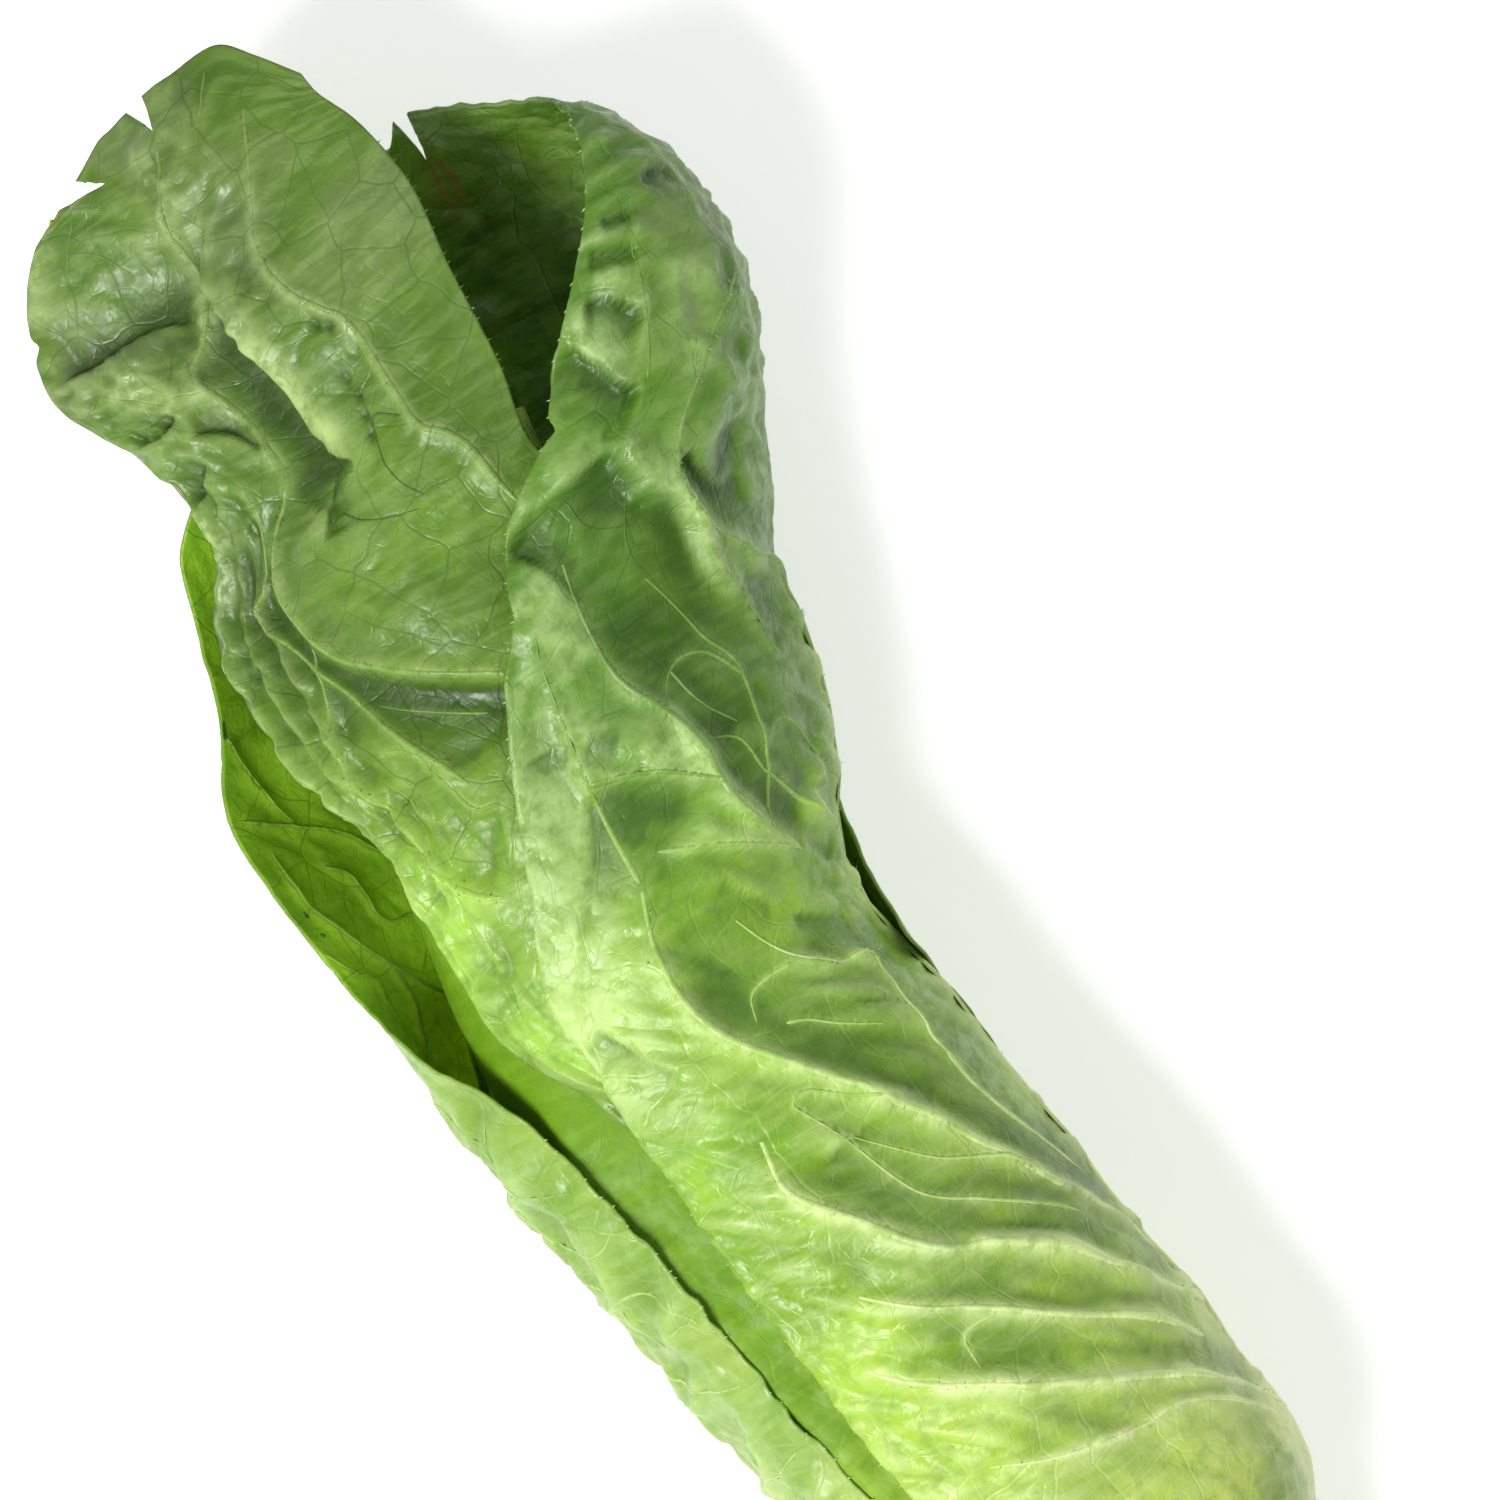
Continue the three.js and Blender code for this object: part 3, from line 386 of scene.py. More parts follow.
class Blade:
    """A leaf's middle surface on a grid of places across and along, in mm."""

    def __init__(self, name, across, along):
        net = np.array(NETS[name], float)
        net[..., 0] -= BELLY_MIDDLE[0]
        net[..., 1] -= BELLY_MIDDLE[1]
        self.name, self.across, self.along = name, across, along
        middle = curve_through(net[:, 4], np.linspace(0, 1, 201))
        arc = np.concatenate([[0], np.cumsum(np.linalg.norm(np.diff(middle, axis=0), axis=1))])
        self.length = arc[-1]
        rows = np.array([curve_through(row, (across + 1) / 2) for row in net])
        shares = np.interp(along * self.length, arc, np.linspace(0, 1, 201))
        self.place = curve_through(rows, shares)
        self.measure()
        self.out = np.zeros(self.place.shape[:2])  # how far each point is pushed outwards, mm
        self.pale = np.zeros_like(self.out)
        self.shade = np.zeros_like(self.out)
        self.brown = np.zeros_like(self.out)
        self.slide = np.zeros_like(self.place)
        self.ribs, self.inner_ribs = [], []

    def measure(self):
        """The outward direction and the flat measures of every point."""
        step = np.gradient(self.place, axis=1)
        normal = np.cross(step, np.gradient(self.place, axis=0))
        self.normal = normal / np.maximum(np.linalg.norm(normal, axis=-1, keepdims=True), 1e-9)
        width = np.linalg.norm(np.diff(self.place, axis=1), axis=-1)
        side = np.concatenate([np.zeros((len(self.along), 1)), np.cumsum(width, axis=1)], axis=1)
        midrib = np.array([np.interp(0, self.across, row) for row in side])
        self.a = side - midrib[:, None]
        self.b = np.repeat((self.along * self.length)[:, None], len(self.across), axis=1)
        self.u = np.repeat(self.across[None, :], len(self.along), axis=0)
        self.v = np.repeat(self.along[:, None], len(self.across), axis=1)

    def at(self, table, u, v):
        """A table of the blade's own grid, read between its points."""
        i = np.interp(v, self.along, np.arange(len(self.along)))
        j = np.interp(u, self.across, np.arange(len(self.across)))
        i0 = np.clip(i.astype(int), 0, len(self.along) - 2)
        j0 = np.clip(j.astype(int), 0, len(self.across) - 2)
        p, q = i - i0, j - j0
        if table.ndim == 3:
            p, q = p[:, None], q[:, None]
        return ((table[i0, j0] * (1 - q) + table[i0, j0 + 1] * q) * (1 - p)
                + (table[i0 + 1, j0] * (1 - q) + table[i0 + 1, j0 + 1] * q) * p)

    def flat(self, route, per_span=6):
        """A route of a few (across, along) places as a smooth line: its places and mm."""
        shares = np.linspace(0, 1, per_span * (len(route) - 1) + 1)
        places = curve_through(route, shares)
        u = np.clip(places[:, 0], -1, 1)
        v = np.clip(places[:, 1], 0, 1)
        return u, v, np.stack([self.at(self.a, u, v), v * self.length], axis=1)

    def surface(self, lift):
        """The finished outer face, in mm, with the middle surface lifted by half the wall."""
        return self.place + self.slide + self.normal * (self.out + lift)[..., None]


def near(blade, line):
    """Distance in mm to a flat line, positive on its left, and the share of the way along it."""
    best = np.full(blade.a.shape, np.inf)
    side = np.ones_like(best)
    share = np.zeros_like(best)
    for k in range(len(line) - 1):
        p, r = line[k], line[k + 1] - line[k]
        da, db = blade.a - p[0], blade.b - p[1]
        q = np.clip((da * r[0] + db * r[1]) / max(r @ r, 1e-9), 0, 1)
        distance = (da - q * r[0]) ** 2 + (db - q * r[1]) ** 2
        closer = distance < best
        best[closer] = distance[closer]
        side[closer] = np.sign(r[0] * db - r[1] * da)[closer]
        share[closer] = ((k + q) / (len(line) - 1))[closer]
    return np.sqrt(best), side, share


print("a blade reads its net with curve_through, and patterns in mm with near")

# %% [markdown]
# ## Shaping the blade
#
# A real blade isn't even: ribs stand out of its outer face, it sinks or folds beside them, and it
# swells into blisters between the small veins. It could be sculpted by hand. Here each shape is a
# number of mm that every point is pushed outwards, which keeps all of them easy to change.

# %% Ribs, folds, swells and blisters


def rib(blade, route, height, width, fade=0.25, hollow=0.0, reach=5.0, band=0.25, strip=True,
        inside=False):
    """A ridge along a route, paler than the blade as real ribs are, with a hollow in painted shade on
    one side and a pale band on the other, partly the paler blade beside the rib and partly painted
    light on its lit side.

    The hollow's sign names its side: above zero it lies to the left of the route."""
    distance, side, share = near(blade, blade.flat(route)[2])
    ends = smooth(share, 0, 0.06) * smooth(1 - share, 0, fade)
    blade.out += height * ends * np.exp(-(distance / width) ** 2)
    duller = 1 - 0.55 * smooth(blade.v, 0.5, 0.62)
    pale = 0.6 * duller * ends * np.exp(-(distance / (0.8 * width)) ** 2) * strip
    if hollow:
        sunk = ends * (side * hollow > 0) * distance / reach * np.exp(1 - distance / reach)
        blade.out -= abs(hollow) * sunk
        blade.shade = np.maximum(blade.shade, 0.17 * abs(hollow) * sunk)
        pale = np.maximum(pale, duller * ends * (side * hollow < 0) * band
                          * np.exp(-(distance / (1.2 * reach)) ** 2))
    blade.pale = np.maximum(blade.pale, pale)
    if strip:
        tone = 0.8 if width > 1.2 else 0.4
        (blade.inner_ribs if inside else blade.ribs).append((route, width, tone))


def paint_sheen_and_shade(blade, bands):
    """Bands of painted sheen, or of the paler flesh along a midrib, where the amount is above zero, and
    of painted shade where it is below zero: amount, reach in mm, and the route.
    """
    for amount, reach, route in bands:
        distance, side, share = near(blade, blade.flat(route)[2])
        ends = smooth(share, -0.02, 0.12) * smooth(1 - share, -0.02, 0.12)
        band = abs(amount) * ends * np.exp(-(distance / reach) ** 2)
        if amount > 0:
            blade.pale = np.maximum(blade.pale, band)
        else:
            blade.shade = np.maximum(blade.shade, band)


def veins(blade, width, tone, routes, inside=False):
    """Fine veins that are only strips: pale where the tone is above zero, dark below."""
    for route in routes:
        (blade.inner_ribs if inside else blade.ribs).append((route, width, tone))


def cut_notch(blade, mesh, left, apex, right):
    """A torn notch in a margin: two cuts that meet at the apex, and the wedge taken out."""
    surface = blade.surface(0)
    p, q, r = (Vector(blade.at(surface, *np.array([[u], [v]]))[0] * MM)
               for u, v in (left, apex, right))
    outward = Vector(blade.at(blade.normal, *np.array([[apex[0]], [apex[1]]]))[0])
    sides = []
    for corner in (p, r):
        side = (corner - q).cross(outward).normalized()
        sides.append(side if side.dot((p + r) / 2 - q) > 0 else -side)
    reach = 1.5 * max((p - q).length, (r - q).length)
    bm = bmesh.new()
    bm.from_mesh(mesh)
    for side in sides:
        faces = [f for f in bm.faces if (f.calc_center_median() - q).length < reach]
        edges = {e for f in faces for e in f.edges}
        verts = {v for f in faces for v in f.verts}
        bmesh.ops.bisect_plane(bm, geom=[*verts, *edges, *faces], plane_co=q, plane_no=side,
                               dist=1e-6)
    gone = [f for f in bm.faces if (f.calc_center_median() - q).length < reach
            and all((f.calc_center_median() - q).dot(side) > 0 for side in sides)]
    bmesh.ops.delete(bm, geom=gone, context="FACES")
    bm.to_mesh(mesh)
    bm.free()


def fold(blade, route, drop, reach, edge=0.9, shade=0.6, lean=0.0):
    """A step along a route: the side that drop's sign names falls away and rises again, and painted
    shade darkens the low side.

    With a lean, the high side's edge hangs over the low side by as many mm."""
    distance, side, share = near(blade, blade.flat(route)[2])
    ends = smooth(share, 0, 0.15) * smooth(1 - share, 0, 0.15)
    signed = side * distance * np.sign(drop)
    low = smooth(signed, -edge, edge)
    blade.out -= abs(drop) * ends * low * np.exp(-(distance / reach) ** 2)
    blade.shade = np.maximum(blade.shade, shade * ends * low * np.exp(-distance / (0.35 * reach)))
    if lean:
        slope_a = np.gradient(signed, axis=1) / np.maximum(np.gradient(blade.a, axis=1), 0.05)
        slope_b = np.gradient(signed, axis=0) / np.maximum(np.gradient(blade.b, axis=0), 0.05)
        size = np.maximum(np.hypot(slope_a, slope_b), 0.5)
        pull = lean * ends * (1 - low) * np.exp(-(distance / (2 * lean)) ** 2) / size
        across = np.gradient(blade.place, axis=1)
        along = np.cross(blade.normal, across)
        across /= np.maximum(np.linalg.norm(across, axis=-1, keepdims=True), 1e-6)
        along /= np.maximum(np.linalg.norm(along, axis=-1, keepdims=True), 1e-6)
        blade.slide += pull[..., None] * (slope_a[..., None] * across + slope_b[..., None] * along)


def swell(blade, u, v, radius, height):
    """A round swelling, or a hollow where the height is below zero."""
    a = blade.at(blade.a, np.array([u]), np.array([v]))[0]
    square = (blade.a - a) ** 2 + (blade.b - v * blade.length) ** 2
    blade.out += height * np.exp(-square / radius ** 2)


def limit_hollows(blade, deepest):
    """No hollow goes much deeper than the room over the next leaf."""
    blade.out = np.where(blade.out < 0, deepest * np.tanh(blade.out / deepest), blade.out)


def ripples(blade, u, half_width, low, high, spacing, height, lean=0.0):
    """A row of waves one behind the other along the leaf, between two shares of its length."""
    wave = np.sin(2 * np.pi * (blade.b + lean * blade.a) / spacing + 1.5 * np.sin(blade.b / 17))
    place = np.exp(-((blade.u - u) / half_width) ** 2)
    blade.out += height * wave * place * smooth(blade.v, low, low + 0.03) * smooth(
        high - blade.v, 0, 0.03)


def paint_light_by_relief(blade, reach=8, strength=0.22):
    """Painted shade in hollows and painted highlights on crests, by how far a point stands out of the
    blade around it.
    """
    mean = np.pad(blade.out, reach, mode="edge")
    for axis in (0, 1):
        mean = sum(np.roll(mean, k, axis) for k in range(-reach, reach + 1)) / (2 * reach + 1)
    stands = blade.out - mean[reach:-reach, reach:-reach]
    blade.shade = np.clip(blade.shade + np.clip(-stands * strength, 0, 0.6), 0, 0.9)
    blade.pale = np.clip(blade.pale + np.clip(stands * strength, 0, 0.35), 0, 1)


def pillows(blade, cell, height, lean=0.55, stretch=1.5, seed=0.0, where=1.0):
    """Blisters: the blade swells inside each cell of a net that leans the way the ribs do."""
    table = np.zeros_like(blade.out)
    x = blade.a / (cell * stretch)
    y = (blade.b - lean * np.abs(blade.a)) / cell
    bend = 0.35
    for i in range(table.shape[0]):
        for j in range(table.shape[1]):
            p = Vector((x[i, j], y[i, j], seed))
            p += bend * noise.noise_vector(p * 0.9)
            near_two = noise.voronoi(p)[0]
            table[i, j] = near_two[1] - near_two[0]
    blade.out += height * where * (smooth(table, 0, 0.55) - 0.5)


def wrinkles(blade, size, height, seed=0.0, where=1.0, sharp=False):
    """Small uneven waves all over the blade, or sharp crumples."""
    table = np.zeros_like(blade.out)
    for i in range(table.shape[0]):
        for j in range(table.shape[1]):
            p = Vector((blade.a[i, j] / size, blade.b[i, j] / size, seed))
            table[i, j] = 1 - 2 * abs(noise.noise(p)) if sharp else noise.noise(p)
    blade.out += height * where * table


print("the patterns push a blade outwards in mm")

# %% Notches, tears and waves in a margin


def reshape(blade, u, v):
    """Carry every point of the blade to other places across and along."""
    flat_u, flat_v = np.clip(u, -1, 1).ravel(), np.clip(v, 0, 1).ravel()
    shape = blade.place.shape
    blade.place = blade.at(blade.place, flat_u, flat_v).reshape(shape)
    blade.a = blade.at(blade.a, flat_u, flat_v).reshape(shape[:2])
    blade.b = flat_v.reshape(shape[:2]) * blade.length
    blade.u, blade.v = flat_u.reshape(shape[:2]), flat_v.reshape(shape[:2])
    step = np.gradient(blade.place, axis=1)
    normal = np.cross(step, np.gradient(blade.place, axis=0))
    blade.normal = normal / np.maximum(np.linalg.norm(normal, axis=-1, keepdims=True), 1e-9)


print("reshape moves points within a blade's own surface")

# %% [markdown]
# ## The materials
#
# A leaf's colour could be one flat green, but on the plant it runs from nearly white at the foot
# to dark green at the tip, it is paler along the ribs and it is mottled in between. The blade
# carries four numbers at every point, kept as one colour attribute called marks: how pale it is,
# as a pale rib or as painted sheen and highlights, how far along the leaf, how much painted shade
# it has in folds and hollows, with a few real dark specks and veins, and how bruised. The
# material reads them, and it adds the finest net of veins, too small to model, as a pattern on
# the flat measures.

# %% The leaf material


def add_node(tree, kind, **values):
    """One shader node, with its properties and its sockets' values."""
    node = tree.nodes.new(kind)
    for key, value in values.items():
        if hasattr(node, key):
            setattr(node, key, value)
        else:
            node.inputs[key.replace("_", " ")].default_value = value
    return node


def mix(tree, factor, one, two, blend="MIX"):
    """A colour mix of two sockets or colours by a factor, which is a socket or a number."""
    node = tree.nodes.new("ShaderNodeMix")
    node.data_type, node.blend_type = "RGBA", blend
    for index, value in ((0, factor), (6, one), (7, two)):
        if isinstance(value, bpy.types.NodeSocket):
            tree.links.new(value, node.inputs[index])
        else:
            node.inputs[index].default_value = value
    return node.outputs[2]


def math_node(tree, operation, one, two=0.0, clamp=False):
    """One sum on a socket and a number or another socket."""
    node = tree.nodes.new("ShaderNodeMath")
    node.operation, node.use_clamp = operation, clamp
    for index, value in enumerate((one, two)):
        if isinstance(value, bpy.types.NodeSocket):
            tree.links.new(value, node.inputs[index])
        else:
            node.inputs[index].default_value = value
    return node.outputs[0]


def ramp(tree, socket, low, high):
    """0 where the socket is at low and 1 where it is at high."""
    node = tree.nodes.new("ShaderNodeMapRange")
    node.interpolation_type = "SMOOTHSTEP"
    node.inputs["From Min"].default_value = low
    node.inputs["From Max"].default_value = high
    if low > high:
        node.inputs["From Min"].default_value, node.inputs["From Max"].default_value = high, low
        node.inputs["To Min"].default_value, node.inputs["To Max"].default_value = 1, 0
    tree.links.new(socket, node.inputs["Value"])
    return node.outputs["Result"]


def colour(r, g, b):
    """A screen colour, 0 to 255, as the linear light that the shader wants."""
    def linear(c):
        c /= 255
        return c / 12.92 if c <= 0.04045 else ((c + 0.055) / 1.055) ** 2.4
    return (linear(r), linear(g), linear(b), 1)


def along_ramp(tree, along, stops):
    """A colour that changes along the leaf, from (share, colour) stops."""
    node = tree.nodes.new("ShaderNodeValToRGB")
    node.color_ramp.interpolation = "EASE"
    while len(node.color_ramp.elements) < len(stops):
        node.color_ramp.elements.new(0.5)
    for element, (share, tint) in zip(node.color_ramp.elements, stops):
        element.position, element.color = share, colour(*tint)
    tree.links.new(along, node.inputs[0])
    return node.outputs[0]


def leaf_material(name, body, vein, dark, roughness=0.4, net=0.13, relief=0.5, glow=0.0,
                  worn=0.0):
    """A leaf's skin. Body and vein are (share along the leaf, colour) stops, foot to tip. The vein
    colour also colours the painted sheen and highlights, and the dark colour the painted shade.
    """
    material = bpy.data.materials.new(name)
    material.use_nodes = True
    tree = material.node_tree
    shader = tree.nodes["Principled BSDF"]
    marks = add_node(tree, "ShaderNodeAttribute", attribute_name="marks")
    split = tree.nodes.new("ShaderNodeSeparateColor")
    tree.links.new(marks.outputs["Color"], split.inputs[0])
    pale_rib_and_sheen, along, painted_shade_and_dark_marks = split.outputs
    bruise = marks.outputs["Alpha"]
    place = tree.nodes.new("ShaderNodeTexCoord")
    flat = add_node(tree, "ShaderNodeUVMap", uv_map="flat")
    dark = colour(*dark)
    vein = along_ramp(tree, along, vein)
    tint = along_ramp(tree, along, body)

    patches = add_node(tree, "ShaderNodeTexNoise", Scale=38.0, Detail=1.0)
    mottle = add_node(tree, "ShaderNodeTexNoise", Scale=260.0, Detail=2.0, Roughness=0.6)
    for texture in (patches, mottle):
        tree.links.new(place.outputs["Object"], texture.inputs["Vector"])
    tint = mix(tree, math_node(tree, "MULTIPLY", ramp(tree, patches.outputs[0], 0.38, 0.62), 0.5),
               tint, dark)
    tint = mix(tree, math_node(tree, "MULTIPLY", ramp(tree, mottle.outputs[0], 0.45, 0.7), 0.3),
               tint, dark)
    if worn:
        spots = ramp(tree, patches.outputs[0], 0.5, 0.38)
        spots = math_node(tree, "MULTIPLY", spots, ramp(tree, along, 0.8, 0.9))
        tint = mix(tree, math_node(tree, "MULTIPLY", spots, worn), tint, colour(96, 114, 66))

    shift = add_node(tree, "ShaderNodeTexNoise", Scale=1.1, Detail=1.0)
    tree.links.new(flat.outputs[0], shift.inputs["Vector"])
    moved = tree.nodes.new("ShaderNodeVectorMath")
    moved.operation = "MULTIPLY_ADD"
    tree.links.new(shift.outputs["Color"], moved.inputs[0])
    moved.inputs[1].default_value = (0.4, 0.4, 0.4)
    tree.links.new(flat.outputs[0], moved.inputs[2])

    def cells(scale, low, high):
        """The lines of a net of small veins: 1 on a vein and 0 inside a cell."""
        net_of = add_node(tree, "ShaderNodeTexVoronoi", feature="DISTANCE_TO_EDGE", Scale=scale,
                          voronoi_dimensions="2D")
        tree.links.new(moved.outputs[0], net_of.inputs["Vector"])
        return ramp(tree, net_of.outputs["Distance"], high, low)

    wide_net = cells(0.75, 0.0, 0.035)
    fine_net = cells(2.1, 0.0, 0.07)
    lines = math_node(tree, "MAXIMUM", wide_net, math_node(tree, "MULTIPLY", fine_net, 0.45))
    upper = math_node(tree, "MULTIPLY", ramp(tree, along, 0.5, 0.66), lines)
    stretched = tree.nodes.new("ShaderNodeVectorMath")
    stretched.operation = "MULTIPLY"
    tree.links.new(flat.outputs[0], stretched.inputs[0])
    stretched.inputs[1].default_value = (0.5, 2.4, 1)
    streaks = add_node(tree, "ShaderNodeTexNoise", Scale=1.6, Detail=2.0, Distortion=0.4)
    tree.links.new(stretched.outputs[0], streaks.inputs["Vector"])
    streak = ramp(tree, streaks.outputs[0], 0.42, 0.66)
    tint = mix(tree, math_node(tree, "MULTIPLY", streak, 0.14), tint, vein)
    tint = mix(tree, math_node(tree, "MULTIPLY", lines, net), tint, vein)
    tint = mix(tree, math_node(tree, "MULTIPLY", upper, 5 * net), tint, dark)
    # pale marks: the pale ribs, and painted sheen and highlights, drawn in the vein colour
    broken = math_node(tree, "ADD", ramp(tree, mottle.outputs[0], 0.3, 0.6), 0.8)
    pale_rib_and_sheen = math_node(tree, "MULTIPLY", pale_rib_and_sheen, math_node(tree, "MULTIPLY", broken, 0.56))
    tint = mix(tree, pale_rib_and_sheen, tint, vein)
    # painted shade from the marks, with a few real dark specks and veins, multiplied in the dark colour
    tint = mix(tree, math_node(tree, "MULTIPLY", painted_shade_and_dark_marks, 0.8), tint, dark, "MULTIPLY")
    tint = mix(tree, bruise, tint, colour(132, 104, 52))
    tree.links.new(tint, shader.inputs["Base Color"])

    gloss = ramp(tree, mottle.outputs[0], 0.35, 0.65)
    gloss = math_node(tree, "MULTIPLY", gloss, 0.22)
    tree.links.new(math_node(tree, "ADD", gloss, roughness - 0.1), shader.inputs["Roughness"])

    height = math_node(tree, "MULTIPLY", lines, -0.2)
    height = math_node(tree, "ADD", height, mottle.outputs[0])
    bump = add_node(tree, "ShaderNodeBump", Strength=relief, Distance=0.0008)
    tree.links.new(height, bump.inputs["Height"])
    tree.links.new(bump.outputs[0], shader.inputs["Normal"])
    shader.inputs["Specular IOR Level"].default_value = 0.3
    if glow:
        shader.inputs["Subsurface Weight"].default_value = glow
        shader.inputs["Subsurface Radius"].default_value = (1.0, 1.0, 0.25)
        shader.inputs["Subsurface Scale"].default_value = 0.003
    return material


def rib_material(name, tint, spots):
    """The skin of hairs and teeth: pale, faintly streaked and a little rough."""
    material = bpy.data.materials.new(name)
    material.use_nodes = True
    tree = material.node_tree
    shader = tree.nodes["Principled BSDF"]
    place = tree.nodes.new("ShaderNodeTexCoord")
    streaks = add_node(tree, "ShaderNodeTexNoise", Scale=420.0, Detail=2.0)
    tree.links.new(place.outputs["Object"], streaks.inputs["Vector"])
    mixed = mix(tree, ramp(tree, streaks.outputs[0], 0.4, 0.7), tint, spots)
    tree.links.new(mixed, shader.inputs["Base Color"])
    rough = math_node(tree, "MULTIPLY", streaks.outputs[0], 0.4)
    tree.links.new(math_node(tree, "ADD", rough, 0.25), shader.inputs["Roughness"])
    bump = add_node(tree, "ShaderNodeBump", Strength=0.4, Distance=0.0004)
    tree.links.new(streaks.outputs[0], bump.inputs["Height"])
    tree.links.new(bump.outputs[0], shader.inputs["Normal"])
    return material


PALE_FOOT = (208, 214, 158)
SKIN = {
    "front": leaf_material(
        "front_leaf_outer_skin",
        [(0, PALE_FOOT), (0.12, (174, 194, 94)), (0.28, (148, 183, 54)), (0.5, (127, 170, 44)),
         (0.66, (94, 132, 38)), (0.84, (92, 128, 40)), (0.97, (80, 106, 44))],
        [(0, (214, 220, 172)), (0.3, (204, 220, 152)), (0.5, (186, 210, 128)),
         (0.61, (166, 194, 120)), (0.7, (160, 188, 116)), (0.92, (158, 182, 116))],
        (66, 112, 14), worn=0.5),
    "curled": leaf_material(
        "curled_leaf_outer_skin",
        [(0, PALE_FOOT), (0.3, (146, 182, 66)), (0.58, (140, 182, 60)), (0.68, (90, 126, 34)),
         (0.9, (89, 118, 40))],
        [(0, (208, 214, 160)), (0.5, (180, 208, 120)), (0.62, (160, 186, 100)),
         (0.75, (164, 188, 112)), (0.95, (168, 188, 124))], (54, 90, 14), worn=0.7),
    # The inner skin is the inner faces' own vivid green, made brighter as painted light for the light
    # that shines through the thin blade.
    "inner": leaf_material(
        "leaf_inner_skin",
        [(0, PALE_FOOT), (0.15, (160, 200, 66)), (0.5, (144, 190, 48)), (0.9, (128, 174, 44))],
        [(0, (214, 226, 160)), (0.5, (170, 204, 84)), (0.9, (152, 190, 72))], (82, 130, 12),
        net=0.12, glow=0.3),
    "between": leaf_material(
        "left_middle_leaf_skin",
        [(0, PALE_FOOT), (0.15, (134, 170, 36)), (0.5, (100, 142, 8)), (0.9, (94, 134, 10))],
        [(0, (208, 222, 150)), (0.5, (160, 194, 50)), (0.9, (146, 180, 50))], (78, 126, 12),
        roughness=0.6, net=0.05, relief=0.25, glow=0.3),
    # The hood's inner skin is dark green, darkest partway along and lighter towards the rim at the tip:
    # painted shade inside the hollow of the hood.
    "hood": leaf_material(
        "hood_inner_skin",
        [(0, PALE_FOOT), (0.3, (110, 160, 60)), (0.6, (46, 80, 26)), (0.8, (70, 108, 30)),
         (0.95, (92, 130, 34))],
        [(0, (200, 220, 160)), (0.9, (184, 208, 124))], (30, 60, 10), net=0.05),
    "outer": leaf_material(
        "outer_leaf_skin",
        [(0, PALE_FOOT), (0.2, (150, 174, 84)), (0.5, (126, 155, 60)), (0.9, (110, 141, 48))],
        [(0, (214, 222, 172)), (0.5, (178, 202, 124)), (0.9, (160, 188, 100))],
        (84, 132, 34)),
    "heart": leaf_material(
        "heart_leaf_skin",
        [(0, (228, 230, 186)), (0.4, (218, 226, 150)), (0.9, (196, 214, 110))],
        [(0, (234, 236, 200)), (0.9, (222, 230, 160))], (160, 190, 84)),
}
HAIR_SKIN = {
    "front": rib_material("front_leaf_hair_skin", colour(186, 204, 132), colour(158, 188, 96)),
    "curled": rib_material("curled_leaf_hair_skin", colour(140, 172, 74), colour(112, 150, 56)),
    "outer": rib_material("outer_leaf_hair_skin", colour(196, 216, 140), colour(160, 200, 96)),
}
print("materials:", len(bpy.data.materials))

# %% [markdown]
# ## Making a leaf
#
# A flat grid takes the blade's places, the Solidify modifier gives it its thickness, with the
# inner face in a material of its own, and the ribs are half-round strips laid on the outer face.

# %% A leaf from its blade
SLOTS = {"front_leaf": "front_leaf", "curled_leaf": "curled_leaf",
         "under_leaf": "outer_leaf", "left_outer_leaf": "outer_leaf",
         "right_outer_leaf": "outer_leaf"}
CM = 0.1  # the flat measures are kept in cm, so that a pattern's scale is per cm


def blade_mesh(blade, name, lift):
    """The blade's points as a mesh with its flat measures and its marks."""
    rows, columns = blade.out.shape
    bm = bmesh.new()
    bmesh.ops.create_grid(bm, x_segments=columns - 1, y_segments=rows - 1, size=1)
    mesh = bpy.data.meshes.new(name)
    bm.to_mesh(mesh)
    bm.free()
    grid = np.empty(len(mesh.vertices) * 3)
    mesh.vertices.foreach_get("co", grid)
    grid = grid.reshape(-1, 3)
    j = np.rint((grid[:, 0] + 1) / 2 * (columns - 1)).astype(int)
    i = np.rint((grid[:, 1] + 1) / 2 * (rows - 1)).astype(int)
    points = blade.surface(lift)
    points[..., 2] = np.maximum(points[..., 2], 0.5)
    mesh.vertices.foreach_set("co", (points[i, j] * MM).ravel())
    corner = np.empty(len(mesh.loops), int)
    mesh.loops.foreach_get("vertex_index", corner)
    flat = np.stack([blade.a, blade.b], axis=-1)[i, j] * CM
    layer = mesh.uv_layers.new(name="flat")
    layer.data.foreach_set("uv", flat[corner].ravel())
    marks = mesh.color_attributes.new(name="marks", type="FLOAT_COLOR", domain="POINT")
    values = np.stack([blade.pale, blade.v, blade.shade, blade.brown], axis=-1)[i, j]
    marks.data.foreach_set("color", np.clip(values, 0, 1).ravel())
    mesh.polygons.foreach_set("use_smooth", [True] * len(mesh.polygons))
    return mesh


def link_mesh(name, bm, skin):
    """An object from a bmesh, in the scene, with one material."""
    mesh = bpy.data.meshes.new(name)
    bm.to_mesh(mesh)
    bm.free()
    mesh.polygons.foreach_set("use_smooth", [True] * len(mesh.polygons))
    mesh.materials.append(skin)
    thing = bpy.data.objects.new(name, mesh)
    bpy.context.scene.collection.objects.link(thing)
    return thing


def beside(blade, u, v, line, offset):
    """The places that lie offset mm to the left of each point of a flat line."""
    step = np.gradient(line, axis=0)
    step /= np.maximum(np.linalg.norm(step, axis=1, keepdims=True), 1e-9)
    spread = np.gradient(blade.a, axis=1) / np.maximum(np.gradient(blade.u, axis=1), 1e-6)
    u_per_mm = 1 / np.maximum(blade.at(spread, u, v), 1)
    return u - offset * step[:, 1] * u_per_mm, v + offset * step[:, 0] / blade.length


